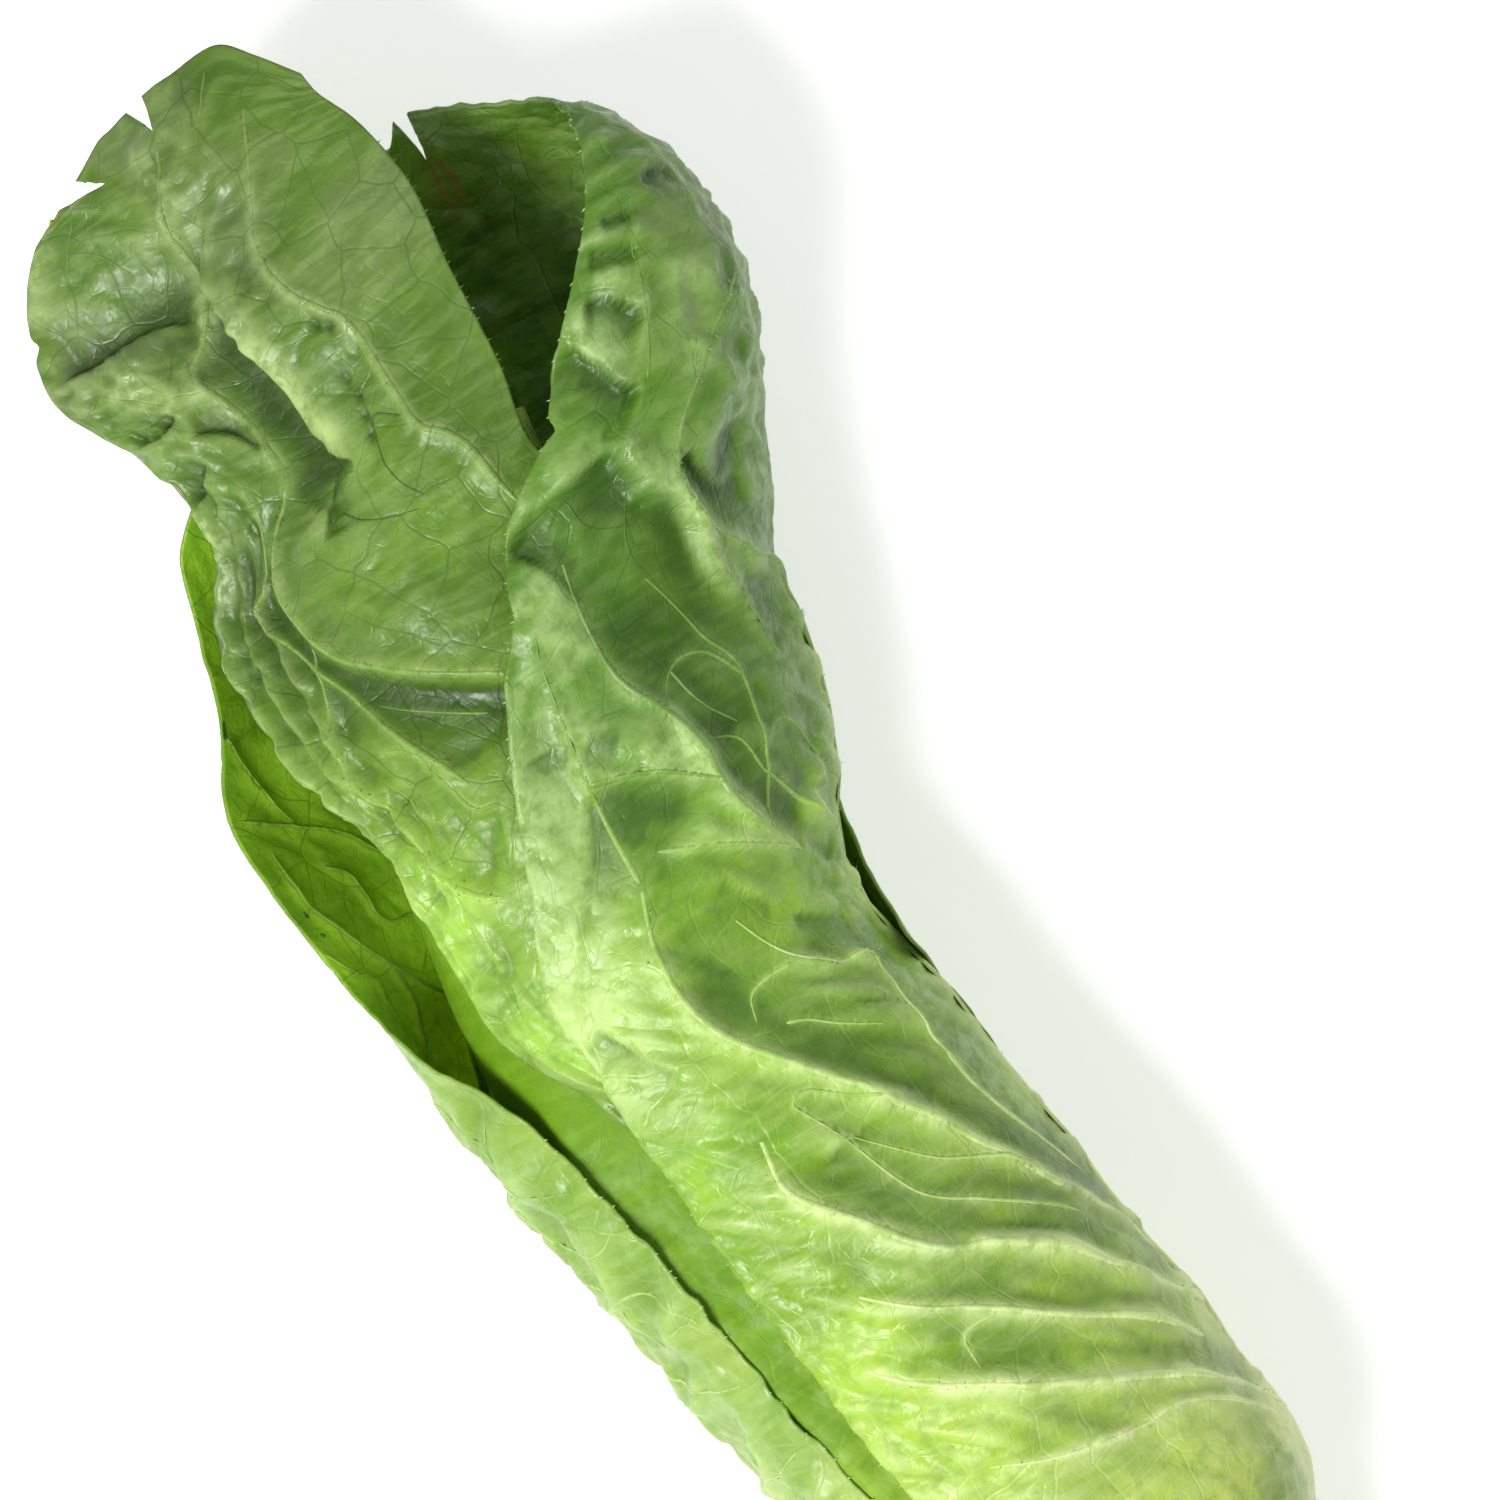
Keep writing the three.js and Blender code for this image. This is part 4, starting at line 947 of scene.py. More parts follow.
def rib_strips(blade, name, ribs, skin, way, surface, rounds=4):
    """Half-round strips along ribs, thick at the near end and thin at the far."""
    profile = np.linspace(-math.pi / 2, math.pi / 2, rounds + 1)
    bm = bmesh.new()
    marks = bm.verts.layers.float_color.new("marks")
    flat = bm.loops.layers.uv.new("flat")
    for route, width, tone in ribs:
        u, v, line = blade.flat(route, per_span=8)
        last = len(line) - 1
        share = np.linspace(0, 1, last + 1)
        wide = 0.08 + width * (1 - 0.75 * share) * smooth(share, -0.02, 0.05)
        rise, sink = 0.08 + 0.2 * wide, 0.05 * wide ** 2
        table = []
        for turn in profile:
            left_u, left_v = beside(blade, u, v, line, -way * math.sin(turn) * wide / 2)
            raised = way * (math.cos(turn) * rise - sink)[:, None]
            table.append(blade.at(surface, left_u, left_v)
                         + blade.at(blade.normal, left_u, left_v) * raised)
        made = bmesh.ops.create_grid(bm, x_segments=rounds, y_segments=last, size=1)
        for vertex in made["verts"]:
            column = round((vertex.co.x + 1) / 2 * rounds)
            row = round((vertex.co.y + 1) / 2 * last)
            vertex.co = table[column][row] * MM
            strength = abs(tone) * (1 - 0.65 * smooth(v[row], 0.46, 0.6) * (tone > 0))
            vertex[marks] = (max(tone, 0) and strength, v[row], max(-tone, 0) and strength, 0)
            for loop in vertex.link_loops:
                loop[flat].uv = line[row] * CM
    return link_mesh(name, bm, skin)


def spikes(name, feet, ways, lengths, thick, skin):
    """Tiny three-sided spikes: hairs and teeth."""
    bm = bmesh.new()
    for foot, way, long in zip(feet, ways, lengths):
        turn = Vector(way).to_track_quat("Z", "X").to_matrix().to_4x4()
        middle = Vector(foot) + Vector(way).normalized() * long / 2
        turn.translation = middle * MM
        bmesh.ops.create_cone(bm, cap_ends=True, segments=3, radius1=thick * MM, radius2=0,
                              depth=long * MM, matrix=turn)
    return link_mesh(name, bm, skin)


def rib_hairs(blade, count, skin, lift=0.5, seed=1, long=(0.7, 1.3)):
    """Hairs scattered along the ribs, leaning every way."""
    chance = np.random.default_rng(seed)
    surface = blade.surface(lift)
    feet, ways = [], []
    weights = np.array([width * len(route) * (tone > 0.5) for route, width, tone in blade.ribs])
    for k in chance.choice(len(blade.ribs), count, p=weights / weights.sum()):
        route, width, tone = blade.ribs[k]
        u, v, line = blade.flat(route)
        at = chance.integers(1, len(line) - 1)
        off = chance.normal(0, width * 0.35)
        left_u, left_v = beside(blade, u, v, line, off)
        place = blade.at(surface, left_u[at:at + 1], left_v[at:at + 1])[0]
        out = blade.at(blade.normal, left_u[at:at + 1], left_v[at:at + 1])[0]
        feet.append(place + out * 0.1)
        ways.append(out + chance.normal(0, 0.5, 3))
    return spikes(blade.name + "_hairs", feet, ways, chance.uniform(*long, count), 0.09, skin)


def margin_teeth(blade, side, low, high, spacing, skin, lift=0.5, seed=2, long=(0.7, 1.5)):
    """Small teeth along one margin, from low to high along the leaf."""
    chance = np.random.default_rng(seed)
    surface = blade.surface(lift - 0.3)
    column, inner = (0, 2) if side < 0 else (-1, -3)
    count = int((high - low) * blade.length / spacing)
    feet, ways = [], []
    for share in np.linspace(low, high, count) + chance.normal(0, 0.25 / count, count):
        k = int(np.clip(np.searchsorted(blade.along, share), 1, len(blade.along) - 2))
        edge = surface[k, column]
        way = edge - surface[k, inner]
        way = way / max(np.linalg.norm(way), 1e-6) + chance.normal(0, 0.15, 3)
        feet.append(edge - way * 0.3)
        ways.append(way)
    return spikes(blade.name + "_teeth", feet, ways, chance.uniform(*long, count), 0.28, skin)


def make_leaf(blade, outer, inner, lift=0.5, thickness=0.7, extras=(), notches=()):
    """The finished leaf: blade, thickness, materials, and its ribs, hairs and teeth."""
    mesh = blade_mesh(blade, blade.name + "_blade", lift)
    for notch in notches:
        cut_notch(blade, mesh, *notch)
    leaf = bpy.data.objects.new(blade.name + "_blade", mesh)
    bpy.context.scene.collection.objects.link(leaf)
    mesh.materials.append(outer)
    mesh.materials.append(inner)
    wall = leaf.modifiers.new("thickness", "SOLIDIFY")
    wall.thickness = thickness * MM
    wall.offset = -1
    wall.material_offset = 1
    wall.use_even_offset = False
    with bpy.context.temp_override(object=leaf, active_object=leaf):
        bpy.ops.object.modifier_apply(modifier="thickness")
    parts = [leaf]
    if blade.ribs:
        parts.append(rib_strips(blade, blade.name + "_ribs", blade.ribs, outer, 1,
                                blade.surface(lift)))
    if blade.inner_ribs:
        parts.append(rib_strips(blade, blade.name + "_inner_ribs", blade.inner_ribs, inner, -1,
                                blade.surface(lift - thickness)))
    for extra in extras:
        parts.append(extra)
    if len(parts) > 1:
        with bpy.context.temp_override(object=leaf, active_object=leaf, selected_objects=parts,
                                       selected_editable_objects=parts):
            bpy.ops.object.join()
    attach(leaf, "root")
    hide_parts(blade.name)
    slot = SLOTS.get(blade.name)
    if slot is None:
        slot = "heart_leaf" if blade.name.startswith("heart") else "middle_leaf"
    print(leaf.name, sum(len(face.vertices) - 2 for face in leaf.data.polygons), "triangles")
    return leaf


def places(stretches):
    """Places across or along a leaf: (from, to, steps) stretches, one after the other."""
    parts = [np.linspace(low, high, steps, endpoint=False) for low, high, steps in stretches]
    return np.append(np.concatenate(parts), stretches[-1][1])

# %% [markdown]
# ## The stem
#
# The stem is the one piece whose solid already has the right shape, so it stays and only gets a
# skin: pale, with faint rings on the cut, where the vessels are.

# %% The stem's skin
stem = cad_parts["stem"]
stem_skin = bpy.data.materials.new("stem_skin")
stem_skin.use_nodes = True
tree = stem_skin.node_tree
shader = tree.nodes["Principled BSDF"]
place = tree.nodes.new("ShaderNodeTexCoord")
grain = add_node(tree, "ShaderNodeTexNoise", Scale=220.0, Detail=4.0)
tree.links.new(place.outputs["Object"], grain.inputs["Vector"])
low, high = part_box("stem")
cut_middle = (low.x, (low.y + high.y) / 2, (low.z + high.z) / 2)
centred = add_node(tree, "ShaderNodeMapping", vector_type="POINT")
centred.inputs["Location"].default_value = [-c for c in cut_middle]
tree.links.new(place.outputs["Object"], centred.inputs["Vector"])
rings = add_node(tree, "ShaderNodeTexWave", wave_type="RINGS", rings_direction="X", Scale=60.0,
                 Distortion=2.5, Detail=2.0)
tree.links.new(centred.outputs[0], rings.inputs["Vector"])
tint = mix(tree, ramp(tree, grain.outputs[0], 0.35, 0.7), colour(222, 222, 172),
           colour(196, 196, 130))
tint = mix(tree, math_node(tree, "MULTIPLY", rings.outputs["Fac"], 0.35), tint,
           colour(176, 160, 96))
tree.links.new(tint, shader.inputs["Base Color"])
bump = add_node(tree, "ShaderNodeBump", Strength=0.4, Distance=0.0006)
tree.links.new(grain.outputs[0], bump.inputs["Height"])
tree.links.new(bump.outputs[0], shader.inputs["Normal"])
shader.inputs["Roughness"].default_value = 0.55
for place_in_list in range(max(1, len(stem.material_slots))):
    if place_in_list < len(stem.material_slots):
        stem.material_slots[place_in_list].material = stem_skin
    else:
        stem.data.materials.append(stem_skin)
print("stem:", len(stem.material_slots), "slot,", round((high - low).x / MM), "mm long")

# %% [markdown]
# ## The front leaf
#
# This leaf wraps the head's right side and stands up into a hood at its tip. Its ribs leave the
# midrib and run out to the free margin. Each is a route of a few (across, along) places.

# %% The front leaf's margin
front = Blade("front_leaf", places([(-1, 0.08, 96), (0.08, 0.7, 18), (0.7, 0.86, 22),
                                    (0.86, 1, 5)]),
              places([(0, 0.12, 12), (0.12, 1, 300)]))
MARGIN_IN = [(0, 0), (0.22, 0.01), (0.3, 0.035), (0.42, 0.03), (0.5, 0.04), (0.54, 0), (0.7, 0.01),
             (0.726, 0.05), (0.757, 0.01), (0.77, 0), (0.79, 0.035), (0.8, 0.055), (0.807, 0.095),
             (0.814, 0.045), (0.826, 0.015), (0.84, -0.005), (0.88, 0.01), (0.92, 0.045),
             (0.945, 0.045), (0.975, 0), (1, 0)]
inward = np.interp(front.v, *zip(*MARGIN_IN)) * smooth(-front.u, 0.75, 1)
short = 0.014 * smooth(front.u, 0.76, 0.86) * smooth(front.v, 0.93, 1)
reshape(front, front.u + inward, front.v - short)
print("front leaf: grid of", front.u.shape, "places, margin drawn in at", len(MARGIN_IN), "stations")

# %% The front leaf's ribs
FRONT_RIBS = [  # height, width, hollow beside it and how far it reaches in mm, and the route
    (1.4, 3.2, -1.8, 6, [(-0.02, 0.155), (-0.27, 0.193), (-0.39, 0.21), (-0.52, 0.226),
                         (-0.62, 0.24), (-0.7, 0.255), (-0.78, 0.268), (-0.87, 0.287)]),
    (1.5, 3.4, -2.6, 8, [(-0.02, 0.222), (-0.24, 0.26), (-0.38, 0.292), (-0.5, 0.313),
                         (-0.6, 0.328), (-0.7, 0.365), (-0.77, 0.395), (-0.755, 0.42)]),
    (1.6, 3.6, -3.4, 8, [(-0.02, 0.26), (-0.25, 0.32), (-0.4, 0.375), (-0.5, 0.41),
                         (-0.6, 0.445), (-0.7, 0.487), (-0.735, 0.53), (-0.745, 0.565)]),
    (0.9, 1.5, 1.4, 5, [(-0.75, 0.57), (-0.8, 0.6), (-0.85, 0.64), (-0.92, 0.71)]),
    (1.1, 2.4, -1.6, 5, [(-0.15, 0.21), (-0.25, 0.228), (-0.37, 0.247), (-0.5, 0.267),
                         (-0.6, 0.288), (-0.68, 0.302), (-0.78, 0.325)]),
    (1.0, 1.5, -1.6, 6, [(-0.12, 0.32), (-0.2, 0.355), (-0.26, 0.39), (-0.28, 0.44),
                         (-0.27, 0.47), (-0.37, 0.48), (-0.45, 0.495), (-0.54, 0.525)]),
    (0.8, 1.5, -1.2, 5, [(-0.12, 0.15), (-0.3, 0.18), (-0.42, 0.193), (-0.5, 0.193),
                         (-0.58, 0.196), (-0.7, 0.203), (-0.82, 0.215)]),
    (0.5, 0.9, 0, 4, [(-0.59, 0.283), (-0.67, 0.278), (-0.68, 0.262)]),
    (0.6, 1.0, -1.4, 4, [(-0.28, 0.332), (-0.36, 0.35), (-0.48, 0.367), (-0.6, 0.398)]),
    (0.6, 1.0, -1.2, 4, [(-0.27, 0.303), (-0.38, 0.323), (-0.46, 0.337), (-0.56, 0.358),
                         (-0.61, 0.395), (-0.66, 0.427)]),
    (0.4, 0.8, 0, 4, [(-0.5, 0.408), (-0.56, 0.418), (-0.63, 0.432), (-0.66, 0.427),
                      (-0.62, 0.405)]),
    (0.5, 0.8, 0, 4, [(-0.47, 0.492), (-0.53, 0.492), (-0.59, 0.487), (-0.61, 0.475)]),
    (0.5, 0.8, 0, 4, [(-0.56, 0.467), (-0.52, 0.463), (-0.45, 0.45), (-0.38, 0.44)]),
    (1.4, 2.1, -3.2, 9, [(-0.3, 0.54), (-0.5, 0.58), (-0.6, 0.63), (-0.75, 0.68), (-0.8, 0.74)]),
    (0.9, 1.4, -2.8, 9, [(-0.85, 0.63), (-0.7, 0.62), (-0.55, 0.6)]),
    (0.8, 1.3, -1.6, 6, [(-0.7, 0.58), (-0.5, 0.56), (-0.3, 0.54)]),
    (1.0, 1.8, 1.4, 6, [(-0.1, 0.54), (-0.25, 0.56), (-0.4, 0.59)]),
    (0.8, 1.2, 0, 4, [(-0.4, 0.56), (-0.38, 0.6), (-0.4, 0.64), (-0.5, 0.67), (-0.6, 0.71)]),
    (0.6, 0.9, 0, 4, [(-0.4, 0.64), (-0.5, 0.66), (-0.6, 0.66), (-0.65, 0.64)]),
    (0.5, 0.8, 0, 4, [(-0.4, 0.59), (-0.45, 0.61), (-0.55, 0.62)]),
    (0.5, 0.8, 0, 4, [(-0.15, 0.58), (-0.3, 0.61), (-0.4, 0.6)]),
    (0.6, 1.0, -1.2, 4, [(-0.25, 0.64), (-0.3, 0.66), (-0.35, 0.68)]),
]
for height, width, hollow, reach, route in FRONT_RIBS:
    rib(front, route, height, width, hollow=hollow, reach=reach)
FRONT_MIDRIB = [(0, 0), (0, 0.3), (0, 0.55), (-0.1, 0.67), (-0.3, 0.7), (-0.45, 0.74),
                (-0.47, 0.77), (-0.4, 0.81), (-0.25, 0.84)]
rib(front, FRONT_MIDRIB, 1.6, 3.0, fade=0.6, hollow=-1.6, reach=6)
veins(front, 0.7, 0.35, [
    [(-0.6, 0.66), (-0.55, 0.64), (-0.45, 0.62)],
    [(-0.6, 0.81), (-0.65, 0.85), (-0.72, 0.89)]])
veins(front, 0.5, -0.6, [
    [(-0.85, 0.76), (-0.8, 0.77), (-0.7, 0.75), (-0.6, 0.74)],
    [(-0.6, 0.76), (-0.62, 0.73), (-0.57, 0.7)]])
veins(front, 2.6, 1.0, [FRONT_MIDRIB])
# Pale bands: painted sheen, and the paler flesh along the midrib near the foot. Dark bands: painted
# shade in folds and hollows.
paint_sheen_and_shade(front, [
    (0.75, 10, [(0, 0), (0, 0.12), (0, 0.25), (0, 0.32)]),
    (0.5, 5, [(0, 0.22), (0, 0.4), (0, 0.56), (-0.1, 0.67)]),
    (0.6, 5, [(-0.95, 0.74), (-0.87, 0.72), (-0.82, 0.68)]),
    (0.5, 4, [(-0.98, 0.7), (-0.93, 0.68), (-0.9, 0.66)]),
    (0.65, 2.5, [(-0.67, 0.63), (-0.58, 0.6)]),
    (0.6, 2, [(-0.85, 0.66), (-0.78, 0.65)]),
    (0.6, 4, [(-0.95, 0.53), (-0.9, 0.58)]),
    (0.6, 6, [(-0.9, 0.84), (-0.72, 0.84)]),
    (0.4, 4, [(-0.9, 0.87), (-0.7, 0.86)]),
    (0.45, 6, [(-0.45, 0.8), (-0.42, 0.83), (-0.45, 0.86)]),
    (-0.7, 3.5, [(-1, 0.76), (-0.85, 0.75), (-0.75, 0.73)]),
    (-0.5, 8, [(-0.78, 0.72), (-0.65, 0.69), (-0.62, 0.67)]),
    (-0.9, 4.5, [(-0.83, 0.62), (-0.72, 0.59)]),
    (-0.8, 3, [(-0.83, 0.65), (-0.76, 0.64)]),
    (-0.7, 3, [(-0.9, 0.83), (-0.66, 0.81)]),
    (-0.6, 2.5, [(-0.92, 0.86), (-0.7, 0.85)]),
    (-0.5, 2, [(-0.86, 0.89), (-0.72, 0.89)]),
    (-0.9, 3, [(-0.24, 0.76), (-0.34, 0.74)]),
    (-0.5, 7, [(-0.55, 0.68), (-0.45, 0.64), (-0.42, 0.6)]),
    (-0.4, 6, [(-0.6, 0.73), (-0.55, 0.7)]),
    (0.7, 2, [(-0.4, 0.57), (-0.5, 0.59), (-0.6, 0.62), (-0.63, 0.65)]),
    (0.7, 2.5, [(-0.53, 0.76), (-0.45, 0.74), (-0.42, 0.71), (-0.35, 0.68)]),
    (-0.5, 4, [(-0.3, 0.83), (-0.25, 0.86), (-0.22, 0.89)])])

HOOD_VEINS = [  # width and route, on the inner face of the hood
    (1.1, [(0.655, 0.85), (0.655, 0.868), (0.65, 0.89), (0.665, 0.902), (0.725, 0.908),
           (0.73, 0.925), (0.77, 0.936)]),
    (0.9, [(0.665, 0.902), (0.64, 0.915), (0.6, 0.93), (0.6, 0.945)]),
    (1.0, [(0.5, 0.9), (0.51, 0.905), (0.54, 0.925), (0.49, 0.95), (0.42, 0.965)]),
    (0.8, [(0.4, 0.91), (0.37, 0.93), (0.33, 0.955)]),
]
for width, route in HOOD_VEINS:
    rib(front, route, -0.6, width, inside=True)

print("front leaf ribs:", len(FRONT_RIBS), "and", len(HOOD_VEINS), "veins inside the hood")

# %% The front leaf's folds and blisters
CRUMPLE = [(-0.65, 0.79), (-0.55, 0.76), (-0.45, 0.74), (-0.42, 0.7), (-0.3, 0.66)]
rib(front, CRUMPLE, 2.2, 3.2, hollow=-3.4, reach=8, strip=False)
FRONT_FOLDS = [  # drop, reach in mm, and the route
    (1.4, 5, [(-0.6, 0.66), (-0.55, 0.645), (-0.5, 0.62), (-0.47, 0.612)]),
    (4.0, 9, [(-0.6, 0.806), (-0.69, 0.814), (-0.8, 0.828), (-0.98, 0.848)]),
    (3.6, 8, [(-0.62, 0.842), (-0.72, 0.85), (-0.82, 0.858), (-0.93, 0.862)]),
    (1.6, 4, [(-0.66, 0.872), (-0.75, 0.876), (-0.85, 0.88), (-0.95, 0.884)]),
    (1.6, 4, [(-0.68, 0.89), (-0.78, 0.894), (-0.9, 0.897)]),
    (3.0, 8, [(-0.24, 0.74), (-0.32, 0.735), (-0.4, 0.75), (-0.42, 0.765)]),
    (2.6, 9, [(-1, 0.76), (-0.85, 0.74), (-0.75, 0.71)]),
    (1.8, 6, [(-0.42, 0.52), (-0.5, 0.535), (-0.56, 0.55)]),
    (2.0, 7, [(-0.86, 0.652), (-0.92, 0.655), (-0.98, 0.656)]),
    (2.0, 6, [(-0.8, 0.47), (-0.88, 0.49), (-0.95, 0.515)]),
    (2.0, 6, [(-0.2, 0.5), (-0.3, 0.505), (-0.4, 0.515)]),
    (1.6, 6, [(-0.35, 0.9), (-0.5, 0.905), (-0.6, 0.9)]),
]
for drop, reach, route in FRONT_FOLDS:
    fold(front, route, drop, reach)
FRONT_SWELLS = [  # across, along, radius in mm and height in mm
    (-0.5, 0.47, 9, 2.2), (-0.35, 0.455, 10, 1.6), (-0.27, 0.752, 6, -4.0),
    (-0.6, 0.36, 8, -1.4), (-0.42, 0.39, 10, 1.6), (-0.35, 0.3, 9, 1.2),
    (-0.86, 0.46, 12, 2.2), (-0.92, 0.6, 12, 1.8), (-0.84, 0.4, 9, 1.6),
    (-0.75, 0.34, 9, -1.8), (-0.93, 0.72, 11, 2.0), (-0.69, 0.695, 12, -3.0),
    (-0.77, 0.6, 9, -2.4), (-0.6, 0.77, 9, -1.6), (-0.8, 0.775, 14, 1.6),
    (-0.3, 0.86, 14, 1.5), (-0.52, 0.645, 8, 1.6), (-0.46, 0.6, 7, 1.2),
    (-0.66, 0.625, 8, 2.2), (-0.45, 0.53, 10, 1.5), (-0.35, 0.78, 9, 2.0)]
for u, v, radius, height in FRONT_SWELLS:
    swell(front, u, v, radius, height)
hood = smooth(front.v, 0.64, 0.74)
ripples(front, -0.78, 0.2, 0.84, 0.97, 8, 0.9, lean=0.3)
ripples(front, -0.05, 0.14, 0.76, 0.98, 10, 0.7, lean=0.4)
pillows(front, 8, 1.4, lean=0.6, stretch=2.4, seed=3.1,
        where=smooth(front.v, 0.1, 0.25) * (1 - 0.5 * hood))
wrinkles(front, 9, 1.0, seed=5.2, where=hood, sharp=True)
wrinkles(front, 3.2, 0.9, seed=8.8, sharp=True,
         where=np.exp(-(near(front, front.flat(CRUMPLE)[2])[0] / 4.5) ** 2))
wrinkles(front, 5, 0.35, seed=1.7)
# painted shade in the hollows and painted highlights on the crests
paint_light_by_relief(front)
limit_hollows(front, 2.4 + 3.2 * smooth(front.v, 0.73, 0.8))
front.out -= 1.2 * np.exp(-((front.u + 0.05) / 0.3) ** 2) * smooth(front.v, 0.7, 0.76)
# painted sheen along the free margin, where it faces the light
margin_sheen = (smooth(-front.u, 0.72, 0.88) * smooth(front.v, 0.42, 0.5)
               * smooth(0.7 - front.v, 0, 0.06))
front.pale = np.maximum(front.pale, 0.75 * margin_sheen)
patch = np.exp(-(((front.u - 0.73) / 0.06) ** 2 + ((front.v - 0.953) / 0.018) ** 2))
front.brown = 0.75 * np.clip(1.6 * patch * (0.5 + 0.5 * np.sin(front.u * 160)), 0, 1)
front_hairs = rib_hairs(front, 420, HAIR_SKIN["front"])
front_teeth = margin_teeth(front, -1, 0.12, 0.97, 4.5, HAIR_SKIN["front"])
make_leaf(front, SKIN["front"], SKIN["hood"], extras=(front_hairs, front_teeth),
          notches=[((0.7, 1), (0.75, 0.97), (0.78, 1))])
print("front leaf:", len(FRONT_FOLDS), "folds and", len(FRONT_SWELLS), "swells")

# %% [markdown]
# ## The curled leaf
#
# The blade lies over the head and its tip is spread flat. Two ribs run up to the tip, and the
# right half lies in a fold over the left. The tip's margin is torn in two places.

# %% The curled leaf's tears and ribs
curled = Blade("curled_leaf", places([(-1, 1, 116)]),
               places([(0, 0.5, 40), (0.5, 1, 215)]))
nick = 0.05 * np.exp(-((curled.v - 0.907) / 0.004) ** 2) * smooth(-curled.u, 0.85, 1)
reshape(curled, curled.u + nick, curled.v)
along = np.gradient(curled.place, axis=0)
along /= np.linalg.norm(along, axis=-1, keepdims=True)
longer = 1.5 * np.exp(-((curled.u + 0.4) / 0.22) ** 2) * smooth(curled.v, 0.9, 1)
curled.slide += along * longer[..., None]

CURLED_RIBS = [
    (2.0, 2.8, 3.6, 6, [(0.3, 0.645), (0.17, 0.657), (0.0, 0.672), (-0.18, 0.69),
                        (-0.3, 0.703), (-0.41, 0.725), (-0.48, 0.75), (-0.44, 0.77),
                        (-0.34, 0.785)]),
    (1.2, 2.0, -1.8, 5, [(-0.34, 0.785), (-0.26, 0.8), (-0.26, 0.825), (-0.27, 0.857),
                         (-0.15, 0.878), (-0.04, 0.9), (-0.07, 0.93), (-0.02, 0.95),
                         (0.03, 0.97)]),
    (1.2, 1.8, 0, 4, [(0.74, 0.72), (0.7, 0.75), (0.62, 0.768), (0.5, 0.785), (0.49, 0.8),
                      (0.48, 0.84), (0.42, 0.855), (0.34, 0.875), (0.3, 0.9), (0.36, 0.92),
                      (0.46, 0.94), (0.57, 0.965)]),
    (0.4, 0.8, 0, 4, [(-0.4, 0.957), (-0.6, 0.968), (-0.8, 0.98)]),
    (1.6, 1.4, -2.6, 6, [(-0.2, 0.615), (-0.25, 0.637), (-0.34, 0.664), (-0.38, 0.685),
                         (-0.45, 0.702), (-0.55, 0.722), (-0.66, 0.74), (-0.58, 0.755),
                         (-0.52, 0.785), (-0.5, 0.8)]),
    (1.2, 1.6, -1.6, 5, [(-0.3, 0.56), (-0.48, 0.57), (-0.62, 0.585), (-0.69, 0.615),
                         (-0.7, 0.64), (-0.64, 0.665), (-0.55, 0.68), (-0.48, 0.698),
                         (-0.43, 0.715)]),
    (0.5, 0.8, 0, 4, [(-0.5, 0.65), (-0.42, 0.65), (-0.33, 0.645), (-0.2, 0.63)]),
    (0.8, 1.0, 1.2, 4, [(-0.13, 0.6), (-0.25, 0.607), (-0.3, 0.63), (-0.35, 0.652)]),
    (0.4, 0.7, 0, 4, [(0.05, 0.642), (-0.05, 0.65), (-0.22, 0.665), (-0.3, 0.673)]),
    (0.5, 0.8, 1.0, 4, [(-0.35, 0.61), (-0.5, 0.61), (-0.6, 0.64)]),
]
for height, width, hollow, reach, route in CURLED_RIBS:
    rib(curled, route, height, width, hollow=hollow, reach=reach)
rib(curled, [(0.1, 0), (0.12, 0.3), (0.2, 0.6), (0.3, 0.645)], 2.0, 5, fade=0.3)
# Pale bands: painted sheen on the ridges and margins. Dark bands: painted shade beside the folds and
# creases.
paint_sheen_and_shade(curled, [
    (0.75, 3.5, [(-0.1, 0.92), (-0.02, 0.89), (0.08, 0.86), (0.08, 0.82), (0.2, 0.79)]),
    (0.5, 4, [(-0.66, 0.872), (-0.56, 0.862), (-0.46, 0.85)]),
    (0.5, 4, [(0.0, 0.945), (0.02, 0.93), (0.0, 0.91)]),
    (0.5, 4, [(-0.95, 0.965), (-0.93, 0.94), (-0.95, 0.915)]),
    (0.5, 3, [(-0.95, 0.8), (-0.9, 0.78), (-0.9, 0.75)]),
    (-0.8, 4.5, [(0, 0.88), (-0.05, 0.85), (-0.03, 0.8), (0.06, 0.79)]),
    (-0.75, 3, [(-0.75, 0.893), (-0.5, 0.888), (-0.25, 0.882), (-0.1, 0.88)]),
    (-0.5, 5, [(-0.3, 0.868), (-0.15, 0.862), (-0.08, 0.845)]),
    (-0.6, 4, [(0.46, 0.6), (0.4, 0.615), (0.3, 0.63)]),
    (-0.4, 4, [(0.2, 0.995), (0.32, 0.99), (0.42, 0.98)])])
veins(curled, 0.55, 0.35, [
    [(0.4, 0.99), (0.33, 0.975), (0.25, 0.96), (0.28, 0.95)],
    [(-0.62, 0.965), (-0.68, 0.94), (-0.74, 0.92), (-0.62, 0.895)],
    [(-0.35, 0.92), (-0.5, 0.937), (-0.66, 0.945)]])
veins(curled, 0.5, -0.6, [
    [(0.46, 0.79), (0.33, 0.795), (0.3, 0.777), (0.33, 0.763), (0.4, 0.75)],
    [(0.02, 0.765), (0.1, 0.757), (0.22, 0.75), (0.36, 0.745)]])

print("curled leaf ribs:", len(CURLED_RIBS))

